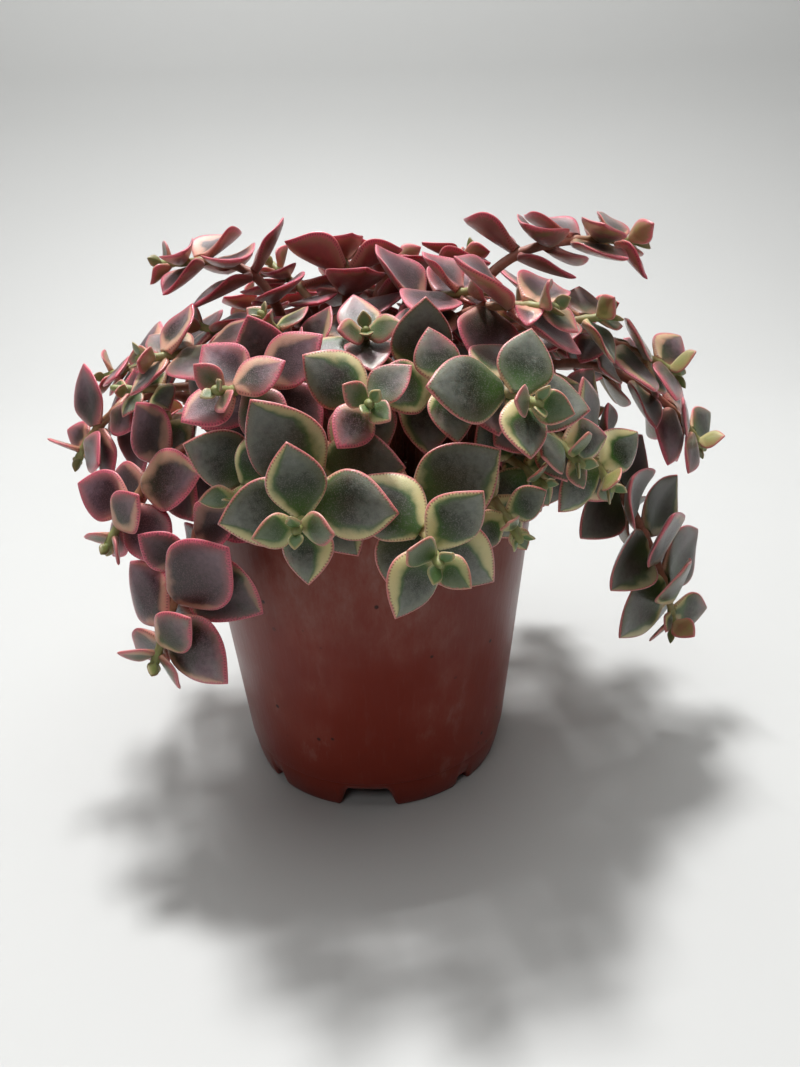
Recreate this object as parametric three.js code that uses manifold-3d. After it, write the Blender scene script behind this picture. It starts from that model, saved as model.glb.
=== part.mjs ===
import * as THREE from "three";
import { mergeVertices } from "three/addons/utils/BufferGeometryUtils.js";
import Module from "manifold-3d";

// A trailing succulent in a round nursery pot: pot, potting mix, and one leafy stem to a mesh.
// Millimetres, +Z up, the pot stands on z = 0.

// Nursery pot
const pot = {
  height: 85.6,
  rimRadius: 45,
  rimHeight: 2.5,
  wallTopRadius: 43.8,
  wallBottomRadius: 36.7,
  wall: 1.2,
  footHeight: 8.8,
  footTopRadius: 36.3,
  footRadius: 34.6,
  footRing: 3,
  floorLift: 6.2,
  floorThickness: 1.4,
  sides: 44,
};

// Notches in the foot, and drain holes in the floor
const notches = [
  { count: 4, azimuth: -96, height: 5.8, bottomWidth: 15, topWidth: 9.5 },
  { count: 4, azimuth: -51, height: 2.6, bottomWidth: 5, topWidth: 3 },
];
const drain = { count: 4, azimuth: -96, radius: 3, ringRadius: 22, sides: 8 };

// Potting mix
const soil = {
  belowRim: 8,
  gap: 0.3,
  bump: 1.1,
  rings: 5,
  sides: 32,
  holeClearance: 0.35,
  holeSides: 5,
};

// Stems: an arch goes straight up first, and is pulled by a part of its rise and of its length
const stemRadius = { root: 1.3, tip: 0.8, taperLength: 40 };
const rootDepth = 6;
const arch = { straight: 2, rootPull: 0.8, tipPull: 0.42, steps: 48 };
const nodeHalfHeight = 0.75;
const stemGap = 0.45;
const bareStep = 12;

// Swings and lifts tried for a stem until it is clear of the others
const stemSwings = [0, 3, -3, 6, -6, 9, -9, 12, -12];
const stemLifts = [0, 4, -4, 8, -8, 12];

// Leaves
const leafShape = { widthRatio: 0.82, widestAt: 0.4, clasp: 0.34, taper: 2.3 };
const leafThickness = { base: 0.7, perLength: 0.095, thinning: 0.55 };
const leafVary = { turn: 16, spread: 12, length: 0.16, bend: [-0.15, 0.02], cup: [-0.3, 0.12] };
const leafGap = 0.4;
const leastLeaf = 2.4;

// Leaves fold up like boats near the plant's top, and again far from the stem's tip
const fold = { low: 105, high: 128, firstLevel: 3, levels: 3, bend: 0.12, cup: 0.5 };

// Sizes and turns tried for a leaf until it is clear of all others
const leafSizes = [1, 0.86, 0.72, 0.58, 0.44];
const leafTurns = [0, 14, -14, 28, -28];

// Where a leaf has its faceted sections along its length
const sections = { plain: [0.42], full: [0.24, 0.6], fullLength: 7, lastFullLevel: 4 };

// How leaves turn their faces to the light, which comes from above, from outside and from one side
const light = {
  up: 0.6,
  outward: 0.5,
  bright: 0.65,
  levelHeight: 120,
  fade: 26,
  leastSideways: 0.08,
  scatter: 0.4,
  slack: 38,
  follow: 0.95,
  youngFollow: 0.3,
  youngLevels: 2,
  mostTurn: 85,
  leastOut: 0.25,
};

// Pairs of leaves, counted from the tip: distance from the tip, part of the full length, spread
const pairs = [
  { distance: 1.6, length: 0.2, spread: 28 },
  { distance: 3.6, length: 0.42, spread: 46 },
  { distance: 6.8, length: 0.7, spread: 60 },
  { distance: 11.4, length: 0.9, spread: 70 },
  { distance: 17.4, length: 1, spread: 78 },
  { distance: 24.4, length: 1, spread: 84 },
  { distance: 32, length: 0.96, spread: 88 },
  { distance: 40, length: 0.92, spread: 90 },
  { distance: 48.5, length: 0.88, spread: 92 },
  { distance: 57, length: 0.84, spread: 92 },
];

// Each stem: name, root azimuth and radius, tip azimuth, radius and height, rise above the mix,
// slope at the tip, number of leaf pairs, full leaf length, turn of the first pair
const stems = [
  ["stem_front_left", -104, 30, -101, 70, 93, 45, 8, 6, 19, 0],
  ["stem_front", -84, 33, -80.5, 74, 87, 40, 0, 6, 19.5, 35],
  ["stem_front_right_low", -68, 35, -63, 65, 84, 28, -45, 4, 14, 60],
  ["stem_right_front", -62, 28, -62, 68, 112, 60, 5, 6, 18.5, 20],
  ["stem_front_upper", -72, 18, -69, 51, 114, 55, 25, 6, 16.5, 0],
  ["stem_front_middle", -92, 20, -89, 54, 112, 50, 20, 5, 15.5, 45],
  ["stem_trailing_left", -126, 35, -136, 68, 53, 60, -60, 10, 19.5, 45],
  ["stem_left_low", -165, 35, -175, 72, 88, 52, -65, 6, 17.5, 90],
  ["stem_left_bud", -158, 27, -168, 60, 108, 48, 15, 4, 10.5, 0],
  ["stem_left_top", 172, 16, 170, 50, 133, 68, -5, 7, 17, 45],
  ["stem_left_upper", -150, 26, -156, 54, 116, 60, 5, 6, 17.5, 0],
  ["stem_left_front", -128, 26, -119, 58, 115, 55, 20, 6, 15.5, 45],
  ["stem_left_centre", -140, 12, -137, 30, 125, 50, 50, 5, 13, 0],
  ["stem_top_left", 120, 12, 103, 22, 134, 56, 10, 6, 16.5, 0],
  ["stem_top_back", 80, 16, 73, 42, 130, 64, 5, 6, 16, 30],
  ["stem_top_middle", 30, 10, 35, 37, 133, 60, 10, 6, 16, 10],
  ["stem_top_front", -40, 10, -35, 34, 128, 57, 10, 6, 18.5, 0],
  ["stem_top_right_front", -50, 20, -38, 52, 125, 60, 0, 6, 20, 45],
  ["stem_top_right", 5, 20, 6, 71, 135, 72, -5, 7, 17, 45],
  ["stem_right_bud", -20, 25, -14, 60, 121, 62, 15, 6, 17.5, 40],
  ["stem_trailing_right", -12, 35, -8, 83, 34, 60, -85, 10, 20, 45],
  ["stem_right_side", 8, 34, 8, 96, 78, 58, -60, 8, 17, 45],
  ["stem_right_low", -42, 34, -46, 64, 95, 45, -30, 6, 17.5, 70],
  ["stem_centre_front", -90, 6, -88, 30, 122, 52, 30, 6, 18.5, 0],
  ["stem_left_back_low", -146, 35, -150, 68, 76, 45, -60, 6, 16.5, 45],
  ["stem_right_upper", -4, 28, -2, 80, 103, 56, -35, 6, 18.5, 45],
  ["stem_right_inner", -27, 34, -30, 64, 84, 48, -60, 6, 19, 45],
  ["stem_right_middle", 10, 12, -4, 42, 122, 52, 30, 6, 17.5, 65],
  ["stem_left_middle", -172, 20, -178, 42, 121, 52, 25, 6, 17.5, 20],
  ["stem_back_1", 28, 34, 27, 92, 94, 54, -30, 7, 17.5, 15],
  ["stem_back_2", 50, 34, 50, 90, 78, 58, -60, 8, 18.5, 45],
  ["stem_back_3", 73, 34, 74, 74, 92, 50, -35, 7, 19, 0],
  ["stem_back_4", 97, 35, 95, 72, 60, 56, -80, 8, 19, 40],
  ["stem_back_5", 120, 34, 121, 74, 95, 50, -30, 7, 17.5, 80],
  ["stem_back_6", 146, 34, 146, 73, 78, 50, -60, 7, 18.5, 20],
  ["stem_back_7", 168, 30, 166, 72, 104, 52, -20, 6, 17.5, 55],
  ["stem_back_upper_1", 30, 22, 22, 72, 116, 62, 0, 6, 19, 30],
  ["stem_back_upper_2", 62, 24, 62, 58, 120, 60, 0, 6, 18.5, 70],
  ["stem_back_upper_3", 95, 24, 94, 58, 121, 60, 0, 6, 17.5, 10],
  ["stem_back_upper_4", 128, 22, 128, 56, 119, 58, 10, 6, 17.5, 45],
  ["stem_back_middle", 150, 12, 140, 30, 132, 60, 30, 6, 16.5, 45],
  ["stem_rim_1", -114, 37, -117, 60, 92, 30, -25, 4, 17.5, 20],
  ["stem_rim_2", -52, 37, -50, 58, 90, 30, -25, 4, 16.5, 60],
  ["stem_rim_3", 2, 37, 0, 60, 90, 32, -25, 5, 16.5, 45],
  ["stem_rim_4", 40, 37, 40, 76, 90, 40, -35, 5, 18.5, 0],
  ["stem_rim_5", 84, 37, 84, 61, 90, 32, -30, 5, 16.5, 30],
  ["stem_rim_6", 133, 37, 134, 60, 92, 32, -25, 5, 16.5, 70],
  ["stem_rim_7", 178, 37, 180, 60, 90, 32, -25, 5, 16.5, 10],
].map(([name, ...sizes]) => {
  const [rootAzimuth, rootRadius, tipAzimuth, tipRadius, tipHeight, ...habit] = sizes;
  const [rise, slope, pairCount, leafLength, roll] = habit;
  const root = { rootAzimuth, rootRadius };
  const tip = { tipAzimuth, tipRadius, tipHeight };
  return { name, ...root, ...tip, rise, slope, pairCount, leafLength, roll };
});

const colours = { pot: 0x8a3324, soil: 0x2b211b, leaf: 0x5c4a48 };

const wasm = await Module();
wasm.setup();

const radians = THREE.MathUtils.degToRad;
const up = new THREE.Vector3(0, 0, 1);
const brightSide = new THREE.Vector3(0, -1, 0);
const soilTop = pot.height - soil.belowRim;
const floorTop = pot.floorLift + pot.floorThickness;
const spotStep = 1.5;

// Point at an azimuth, a radius from the pot's axis, and a height
function polar(azimuth, radius, height) {
  return new THREE.Vector3(
    radius * Math.cos(radians(azimuth)),
    radius * Math.sin(radians(azimuth)),
    height,
  );
}

// Repeatable random numbers from 0 to 1
function makeRandom(seed) {
  let state = seed;
  return () => {
    state = (state * 1664525 + 1013904223) % 4294967296;
    return state / 4294967296;
  };
}

// Closed solid of a mesh, and back again
function toSolid(geometry) {
  const bare = geometry.clone();
  bare.deleteAttribute("normal");
  bare.deleteAttribute("uv");
  const merged = mergeVertices(bare, 1e-3);
  return new wasm.Manifold(
    new wasm.Mesh({
      numProp: 3,
      vertProperties: merged.attributes.position.array,
      triVerts: new Uint32Array(merged.index.array),
    }),
  );
}

function toGeometry(solid) {
  const mesh = solid.getMesh();
  const geometry = new THREE.BufferGeometry();
  geometry.setAttribute("position", new THREE.BufferAttribute(mesh.vertProperties, 3));
  geometry.setIndex(new THREE.BufferAttribute(mesh.triVerts, 1));
  return geometry;
}

// Round body about +Z from a profile of radius and height
function turned(profile, sides) {
  const points = profile.map(([radius, height]) => new THREE.Vector2(radius, height));
  return new THREE.LatheGeometry(points, sides).rotateX(Math.PI / 2);
}

// Outer radius of the pot's wall at a height
function wallRadius(height) {
  if (height >= pot.height - pot.rimHeight) return pot.rimRadius;
  if (height < pot.footHeight) return pot.footTopRadius;
  const share = (height - pot.footHeight) / (pot.height - pot.rimHeight - pot.footHeight);
  return pot.wallBottomRadius + share * (pot.wallTopRadius - pot.wallBottomRadius);
}

// Block that cuts one notch through the foot ring on the +X side
function notchWedge(notch) {
  const bottom = notch.bottomWidth / 2;
  const top = notch.topWidth / 2;
  const outline = new THREE.Shape([
    new THREE.Vector2(-bottom, -1),
    new THREE.Vector2(bottom, -1),
    new THREE.Vector2(bottom, notch.height * 0.25),
    new THREE.Vector2(top, notch.height),
    new THREE.Vector2(-top, notch.height),
    new THREE.Vector2(-bottom, notch.height * 0.25),
  ]);
  const wedge = new THREE.ExtrudeGeometry(outline, { depth: 12, bevelEnabled: false });
  wedge.rotateX(Math.PI / 2);
  wedge.rotateZ(Math.PI / 2);
  return wedge.translate(pot.footRadius - pot.footRing - 3, 0, 0);
}

// Pot with its lip, step, foot ring, notches and drain holes
function buildPot() {
  const lipHeight = pot.height - pot.rimHeight;
  const innerTop = pot.wallTopRadius - pot.wall;
  const innerBottom = pot.footTopRadius - pot.wall;
  const body = toSolid(
    turned(
      [
        [0, pot.floorLift],
        [pot.footRadius - pot.footRing, pot.floorLift],
        [pot.footRadius - pot.footRing, 0],
        [pot.footRadius, 0],
        [pot.footTopRadius, pot.footHeight],
        [pot.wallBottomRadius, pot.footHeight],
        [pot.wallTopRadius, lipHeight],
        [pot.rimRadius, lipHeight],
        [pot.rimRadius, pot.height],
        [innerTop, pot.height],
        [innerBottom, floorTop],
        [0, floorTop],
      ],
      pot.sides,
    ),
  );
  let cut = body;
  for (const notch of notches) {
    for (let i = 0; i < notch.count; i += 1) {
      const turn = radians(notch.azimuth + (i * 360) / notch.count);
      cut = cut.subtract(toSolid(notchWedge(notch).rotateZ(turn)));
    }
  }
  for (let i = 0; i < drain.count; i += 1) {
    const hole = new THREE.CylinderGeometry(drain.radius, drain.radius, 8, drain.sides);
    hole.rotateX(Math.PI / 2);
    const place = polar(drain.azimuth + (i * 360) / drain.count, drain.ringRadius, pot.floorLift);
    hole.translate(place.x, place.y, place.z);
    cut = cut.subtract(toSolid(hole));
  }
  return toGeometry(cut);
}

// Height of the mix's uneven top
function soilHeight(x, y) {
  const waves = Math.sin(x * 0.31 + 1.3) * Math.cos(y * 0.27) + 0.6 * Math.sin(x * 0.12 - y * 0.19);
  return soilTop + soil.bump * 0.6 * waves;
}

// Potting mix with one plain hole for each stem
function buildSoil(routes) {
  const inner = (height) => {
    const share = (height - floorTop) / (pot.height - floorTop);
    const bottom = pot.footTopRadius - pot.wall;
    return bottom + share * (pot.wallTopRadius - pot.wall - bottom) - soil.gap;
  };
  const bottom = floorTop + soil.gap;
  const profile = [
    [0, bottom],
    [inner(bottom), bottom],
    [inner(soilTop), soilTop],
  ];
  for (let i = soil.rings - 1; i >= 0; i -= 1) {
    profile.push([(inner(soilTop) * i) / soil.rings, soilTop]);
  }
  const body = turned(profile, soil.sides);
  const position = body.attributes.position;
  const edge = inner(soilTop) - 0.5;
  for (let i = 0; i < position.count; i += 1) {
    const x = position.getX(i);
    const y = position.getY(i);
    if (position.getZ(i) > soilTop - 1 && Math.hypot(x, y) < edge) {
      position.setZ(i, soilHeight(x, y));
    }
  }
  let mix = toSolid(body);
  const holeRadius = (stemRadius.root + soil.holeClearance) / Math.cos(Math.PI / soil.holeSides);
  for (const route of routes) {
    const hole = new THREE.CylinderGeometry(holeRadius, holeRadius, 20, soil.holeSides);
    hole.rotateX(Math.PI / 2);
    hole.translate(route.root.x, route.root.y, soilTop - rootDepth - soil.gap + 10);
    mix = mix.subtract(toSolid(hole));
  }
  return toGeometry(mix);
}

// Centre line of a stem: straight up through the mix, then one arch to its tip
function makeRoute(stem, lift, swing) {
  const root = polar(stem.rootAzimuth, stem.rootRadius, soilTop - rootDepth);
  const start = polar(stem.rootAzimuth, stem.rootRadius, soilTop + arch.straight);
  const tip = polar(stem.tipAzimuth + swing, stem.tipRadius, stem.tipHeight);
  const out = polar(stem.tipAzimuth, 1, 0);
  const heading = out.clone().multiplyScalar(Math.cos(radians(stem.slope)));
  heading.addScaledVector(up, Math.sin(radians(stem.slope)));
  const reach = arch.tipPull * start.distanceTo(tip);
  const curve = new THREE.CubicBezierCurve3(
    start,
    start.clone().addScaledVector(up, (stem.rise + lift) * arch.rootPull),
    tip.clone().addScaledVector(heading, -reach),
    tip,
  );
  const points = [root];
  for (let i = 0; i <= arch.steps; i += 1) points.push(curve.getPoint(i / arch.steps));
  points.reverse();
  const distances = [0];
  for (let i = 1; i < points.length; i += 1) {
    distances.push(distances[i - 1] + points[i].distanceTo(points[i - 1]));
  }
  return { root, points, distances, length: distances[distances.length - 1], out };
}

// Point of a route at a distance from the tip
function pointAt(route, distance) {
  const last = route.points.length - 1;
  let i = 1;
  while (i < last && route.distances[i] < distance) i += 1;
  const from = route.distances[i - 1];
  const share = (distance - from) / (route.distances[i] - from);
  return route.points[i - 1].clone().lerp(route.points[i], share);
}

// Point with the directions towards the tip, sideways and over the stem's upper side
function frameAt(route, distance) {
  const point = pointAt(route, distance);
  const ahead = pointAt(route, Math.max(distance - 1, 0));
  const behind = pointAt(route, Math.min(distance + 1, route.length));
  const along = ahead.sub(behind).normalize();
  const side = new THREE.Vector3().crossVectors(up, route.out);
  side.addScaledVector(along, -side.dot(along)).normalize();
  const over = new THREE.Vector3().crossVectors(along, side);
  return { point, along, side, over };
}

function radiusAt(distance) {
  const share = Math.min(distance / stemRadius.taperLength, 1);
  return stemRadius.tip + share * (stemRadius.root - stemRadius.tip);
}

// Height of the pot or mix below a point, or nothing outside them
function groundHeight(point) {
  const radius = Math.hypot(point.x, point.y);
  if (radius < pot.wallTopRadius - pot.wall - 1) return soilTop + soil.bump;
  return radius < wallRadius(point.z) + 0.6 ? pot.height : 0;
}

// Least distance of a stem's points from other stems and from the ground, axis to axis
function clearance(spots, others) {
  let nearest = Infinity;
  for (const spot of spots) {
    for (const other of others) nearest = Math.min(nearest, spot.distanceTo(other));
    if (spot.z > soilTop + 3) {
      nearest = Math.min(nearest, spot.z - groundHeight(spot) + stemRadius.root);
    }
  }
  return nearest;
}

// Routes of all stems, each bent clear of the ones before it
function layRoutes() {
  const others = [];
  const tries = stemSwings.flatMap((swing) => stemLifts.map((lift) => ({ lift, swing })));
  return stems.map((stem) => {
    let best = null;
    for (const { lift, swing } of tries) {
      const route = makeRoute(stem, lift, swing);
      const spots = [];
      for (let distance = 0; distance < route.length; distance += spotStep) {
        spots.push(pointAt(route, distance));
      }
      const nearest = clearance(spots, others);
      if (!best || nearest > best.nearest) best = { route, spots, nearest };
      if (nearest > 2 * stemRadius.root + stemGap) break;
    }
    others.push(...best.spots);
    return best.route;
  });
}

// Places on a leaf that are checked against the others: along it, and across it from -1 to 1
const leafSpots = [0.12, 0.26, 0.4, 0.54, 0.68, 0.82].flatMap((t) => [
  [t, -0.9],
  [t, 0.9],
]);
leafSpots.push([0.2, 0], [0.4, 0], [0.7, 0], [1, 0]);

// Outline of a leaf: its half-width along its length, as a part of the greatest
function leafOutline(t) {
  const { widestAt, clasp, taper } = leafShape;
  if (t < widestAt) return clasp + (1 - clasp) * Math.sin((0.5 * Math.PI * t) / widestAt);
  return 1 - Math.pow((t - widestAt) / (1 - widestAt), taper);
}

function leafHalfThickness(leaf, t) {
  return 0.5 * leaf.thickness * (1 - leafThickness.thinning * t);
}

// Height of a leaf's middle surface over its base plane
function leafRise(leaf, t, y) {
  return leaf.bend * leaf.length * t * t + (leaf.cup * y * y) / leaf.halfWidth;
}

// Point of a leaf at t along it, w across it from -1 to 1, and h off its middle surface
function leafPoint(leaf, t, w, h) {
  const y = leaf.halfWidth * leafOutline(t) * w;
  return leaf.base
    .clone()
    .addScaledVector(leaf.along, leaf.length * t)
    .addScaledVector(leaf.side, y)
    .addScaledVector(leaf.normal, leafRise(leaf, t, y) + h);
}

// Direction of the light that the leaves at a point of a stem turn to
function lightAt(point, out) {
  const outward = new THREE.Vector3(point.x, point.y, 0);
  if (outward.length() < 12) outward.copy(out);
  outward.normalize();
  const low = Math.min((light.levelHeight - point.z) / light.fade, 1);
  const toLight = outward.clone().multiplyScalar(light.outward);
  toLight.addScaledVector(brightSide, light.bright * Math.min(1, 1 - outward.y));
  toLight.multiplyScalar(Math.max(low, light.leastSideways));
  return toLight.addScaledVector(up, light.up).normalize();
}

// One leaf at a node: it leaves the stem at its spread and turns its face to the light
function makeLeaf(node, habit, { size, pitch, yaw }) {
  const { frame, radius, follow } = node;
  const out = frame.over.clone().multiplyScalar(Math.cos(radians(habit.turn)));
  out.addScaledVector(frame.side, Math.sin(radians(habit.turn)));
  const angle = radians(habit.spread);
  const along = frame.along.clone().multiplyScalar(Math.cos(angle));
  along.addScaledVector(out, Math.sin(angle));
  const normal = frame.along.clone().multiplyScalar(Math.sin(angle));
  normal.addScaledVector(out, -Math.cos(angle));
  const axis = new THREE.Vector3().crossVectors(normal, habit.toLight).normalize();
  const slack = radians(light.slack) * Math.max(0, frame.along.dot(habit.toLight));
  const away = Math.max(0, normal.angleTo(habit.toLight) - slack);
  for (let share = follow; share > 0; share -= 0.1) {
    const bent = Math.min(away * share, radians(light.mostTurn));
    const tried = along.clone().applyAxisAngle(axis, bent);
    if (tried.dot(out) > light.leastOut) {
      along.copy(tried);
      normal.applyAxisAngle(axis, bent);
      break;
    }
  }
  const side = new THREE.Vector3().crossVectors(normal, along);
  along.applyAxisAngle(side, radians(pitch));
  normal.applyAxisAngle(side, radians(pitch));
  along.applyAxisAngle(normal, radians(yaw));
  side.applyAxisAngle(normal, radians(yaw));
  const length = habit.length * size;
  const leaf = {
    base: frame.point.clone().addScaledVector(out, radius * 0.75),
    along,
    side,
    normal,
    length,
    halfWidth: 0.5 * leafShape.widthRatio * length,
    thickness: leafThickness.base + leafThickness.perLength * length,
    bend: habit.bend,
    cup: habit.cup,
    stem: node.stem,
    level: node.level,
    distance: node.distance,
    jitter: node.jitter,
    half: habit.half,
  };
  leaf.middle = leafPoint(leaf, 0.5, 0, 0);
  leaf.spots = leafSpots.map(([t, w]) => ({
    t,
    point: leafPoint(leaf, t, w, 0),
    half: leafHalfThickness(leaf, t) * (1 - 0.6 * w * w),
  }));
  return leaf;
}

// Whether a ball round a point comes too near a leaf's blade
function nearBlade(leaf, point, ball, from) {
  const away = point.clone().sub(leaf.base);
  const t = away.dot(leaf.along) / leaf.length;
  const margin = 0.3 + 0.8 * ball;
  if (t < from || t > 1 + margin / leaf.length) return false;
  const y = away.dot(leaf.side);
  const clamped = Math.min(Math.max(t, 0), 1);
  const halfWidth = leaf.halfWidth * leafOutline(clamped);
  if (Math.abs(y) > halfWidth + margin) return false;
  // The facets run straight over the hollow of the curved blade
  const inside = Math.min(Math.abs(y), halfWidth);
  const sag = (0.5 * leaf.cup * inside * (halfWidth - inside)) / leaf.halfWidth;
  const gap = Math.abs(away.dot(leaf.normal) - leafRise(leaf, t, y) - sag);
  const share = inside / (halfWidth + 1e-6);
  const thick = leafHalfThickness(leaf, clamped) * (1 - 0.6 * share * share);
  return gap < ball + thick + Math.abs(sag) + leafGap;
}

// Whether a leaf is clear of the pot, the mix, the stems and the leaves set before it
function isClear(leaf, stemSpots, leaves) {
  for (const spot of leaf.spots) {
    if (spot.t > 0.3 && spot.point.z < groundHeight(spot.point) + spot.half + 0.5) return false;
  }
  for (const spot of stemSpots) {
    if (spot.point.distanceTo(leaf.middle) > 0.62 * leaf.length + 3) continue;
    const own = spot.stem === leaf.stem;
    if (own && Math.abs(spot.distance - leaf.distance) < 3) continue;
    if (nearBlade(leaf, spot.point, spot.radius, own ? 0.12 : -0.1)) return false;
  }
  for (const other of leaves) {
    const apart = leaf.middle.distanceTo(other.middle);
    if (apart > 0.62 * (leaf.length + other.length) + 2) continue;
    const own = other.stem === leaf.stem;
    if (own && other.level === leaf.level) continue;
    const from = own ? 0.14 : -0.06;
    for (const spot of leaf.spots) {
      if (own && spot.t < 0.2) continue;
      if (nearBlade(other, spot.point, spot.half, from)) return false;
    }
    for (const spot of other.spots) {
      if (own && spot.t < 0.2) continue;
      if (nearBlade(leaf, spot.point, spot.half, from)) return false;
    }
  }
  return true;
}

// Where a pair of leaves grows
function makeNode(stem, level, route, random) {
  const { distance } = pairs[level];
  return {
    stem,
    level,
    distance,
    frame: frameAt(route, distance),
    radius: radiusAt(distance),
    follow: level < light.youngLevels ? light.youngFollow : light.follow,
    jitter: (random() - 0.5) * leafVary.turn,
  };
}

// How far a leaf folds up, from 0 to 1
function foldAt(height, level) {
  const high = (height - fold.low) / (fold.high - fold.low);
  const old = (level - fold.firstLevel) / fold.levels;
  return Math.min(Math.max(high, old, 0), 1);
}

// How one leaf of a pair would grow if it had room
function makeHabit(node, half, toLight, random) {
  const { leafLength, roll } = stems[node.stem];
  const pair = pairs[node.level];
  const { lerp } = THREE.MathUtils;
  const folded = foldAt(node.frame.point.z, node.level);
  const habit = {
    half,
    turn: roll + 90 * node.level + node.jitter + 180 * half,
    spread: pair.spread + (random() - 0.5) * leafVary.spread,
    length: leafLength * pair.length * (1 + leafVary.length * (random() - 0.5)),
    bend: lerp(...leafVary.bend, random()) + folded * fold.bend,
    cup: lerp(...leafVary.cup, random()) + folded * fold.cup,
    toLight: toLight.clone(),
  };
  habit.toLight.x += light.scatter * (random() - 0.5);
  habit.toLight.y += light.scatter * (random() - 0.5);
  habit.toLight.normalize();
  return habit;
}

// All leaves, from the tips down, each turned or made smaller until it is clear
function setLeaves(routes) {
  const stemSpots = [];
  routes.forEach((route, stem) => {
    for (let distance = 0; distance < route.length - rootDepth; distance += spotStep) {
      const point = pointAt(route, distance);
      stemSpots.push({ stem, distance, point, radius: radiusAt(distance) });
    }
  });
  const tries = leafSizes.flatMap((size) =>
    leafTurns.flatMap((pitch) => leafTurns.map((yaw) => ({ size, pitch, yaw }))),
  );
  const leaves = [];
  pairs.forEach((pair, level) => {
    stems.forEach((stem, index) => {
      const route = routes[index];
      if (level >= stem.pairCount || pair.distance > route.length - 2 * rootDepth) return;
      const random = makeRandom(1000 * index + 37 * level + 11);
      const node = makeNode(index, level, route, random);
      const toLight = lightAt(node.frame.point, route.out);
      for (const half of [0, 1]) {
        const habit = makeHabit(node, half, toLight, random);
        const allowed = tries.filter(({ size }) => habit.length * size >= leastLeaf);
        for (const attempt of allowed) {
          const leaf = makeLeaf(node, habit, attempt);
          if (isClear(leaf, stemSpots, leaves)) {
            leaves.push(leaf);
            break;
          }
        }
      }
    });
  });
  return leaves;
}

// Four corners of a square stem section, its sides facing the leaves
function stemRing(route, distance, turn) {
  const frame = frameAt(route, distance);
  const radius = radiusAt(distance);
  return [45, 135, 225, 315].map((corner) => {
    const angle = radians(turn + corner);
    return frame.point
      .clone()
      .addScaledVector(frame.over, radius * Math.cos(angle))
      .addScaledVector(frame.side, radius * Math.sin(angle));
  });
}

// Closed surface under construction: its points and its triangles
class Surface {
  constructor() {
    this.points = [];
    this.faces = [];
  }

  add(point) {
    return this.points.push(point) - 1;
  }

  apart(a, b) {
    return this.points[a].distanceTo(this.points[b]);
  }

  // Four-cornered face, split from its first corner or from its second
  quad([a, b, c, d], fromFirst = true) {
    if (fromFirst) this.faces.push([a, b, c], [a, c, d]);
    else this.faces.push([b, c, d], [b, d, a]);
  }

  geometry() {
    const geometry = new THREE.BufferGeometry();
    const numbers = this.points.flatMap((point) => point.toArray());
    geometry.setAttribute("position", new THREE.Float32BufferAttribute(numbers, 3));
    geometry.setIndex(this.faces.flat());
    return geometry;
  }
}

// Step round a leaf's section that joins it to a four-cornered hole with the least twist
function leastTwist(surface, loop, points) {
  const cost = (step) =>
    loop.reduce((sum, corner, k) => {
      return sum + surface.points[corner].distanceTo(points[(k + step) % 4]);
    }, 0);
  return [0, 1, 2, 3].reduce((best, step) => (cost(step) < cost(best) ? step : best));
}

// Leaf grown from a four-cornered hole in the side of its stem
function growLeaf(surface, loop, leaf) {
  const plain = leaf.length < sections.fullLength || leaf.level > sections.lastFullLevel;
  let ring = loop;
  let step = 0;
  for (const t of plain ? sections.plain : sections.full) {
    const half = leafHalfThickness(leaf, t);
    const points = [
      leafPoint(leaf, t, 1, 0),
      leafPoint(leaf, t, 0, half),
      leafPoint(leaf, t, -1, 0),
      leafPoint(leaf, t, 0, -half),
    ];
    const atBase = ring === loop;
    if (atBase) step = leastTwist(surface, loop, points);
    const next = points.map((_, k) => surface.add(points[(k + step) % 4]));
    for (let k = 0; k < 4; k += 1) {
      const [a, b, c, d] = [ring[k], ring[(k + 1) % 4], next[(k + 1) % 4], next[k]];
      const shorter = surface.apart(a, c) < surface.apart(b, d);
      surface.quad([a, b, c, d], atBase ? shorter : (k + step) % 2 === 0);
    }
    ring = next;
  }
  const tip = surface.add(leafPoint(leaf, 1, 0, 0));
  for (let k = 0; k < 4; k += 1) surface.faces.push([ring[k], ring[(k + 1) % 4], tip]);
}

// One closed mesh for a stem, with its leaves grown from the stem's sides
function buildStem(stem, route, leaves) {
  const surface = new Surface();
  const ringAt = (distance, turn) =>
    stemRing(route, distance, turn).map((point) => surface.add(point));
  const tip = surface.add(pointAt(route, 0));
  let upper = null;

  // Joins the next section, with leaves on two of its four sides if it has a level
  const join = (lower, level, pair) => {
    for (let j = 0; j < 4; j += 1) {
      const before = (j + 3) % 4;
      if (!upper) {
        surface.faces.push([lower[j], lower[before], tip]);
        continue;
      }
      const loop = [lower[j], lower[before], upper[before], upper[j]];
      const half = [0, null, 1, null][(j + 4 - (level % 4)) % 4];
      const leaf = pair.find((one) => one.half === half);
      if (leaf) growLeaf(surface, loop, leaf);
      else surface.quad(loop);
    }
    upper = lower;
  };

  let bareFrom = 0;
  for (let level = 0; level < stem.pairCount; level += 1) {
    const pair = leaves.filter((leaf) => leaf.level === level);
    if (!pair.length) continue;
    const { distance, jitter } = pair[0];
    const reach = level === 0 ? 0.5 : nodeHalfHeight;
    join(ringAt(distance - reach, stem.roll + jitter), 0, []);
    join(ringAt(distance + reach, stem.roll + jitter), level, pair);
    bareFrom = distance;
  }
  const bare = route.length - rootDepth - bareFrom;
  const bends = Math.max(1, Math.round(bare / bareStep));
  for (let i = 1; i <= bends; i += 1) {
    const distance = bareFrom + nodeHalfHeight + ((bare - 1) * i) / bends;
    join(ringAt(distance, stem.roll), 0, []);
  }
  join(ringAt(route.length, stem.roll), 0, []);
  surface.quad(upper);
  return surface.geometry();
}

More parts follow.
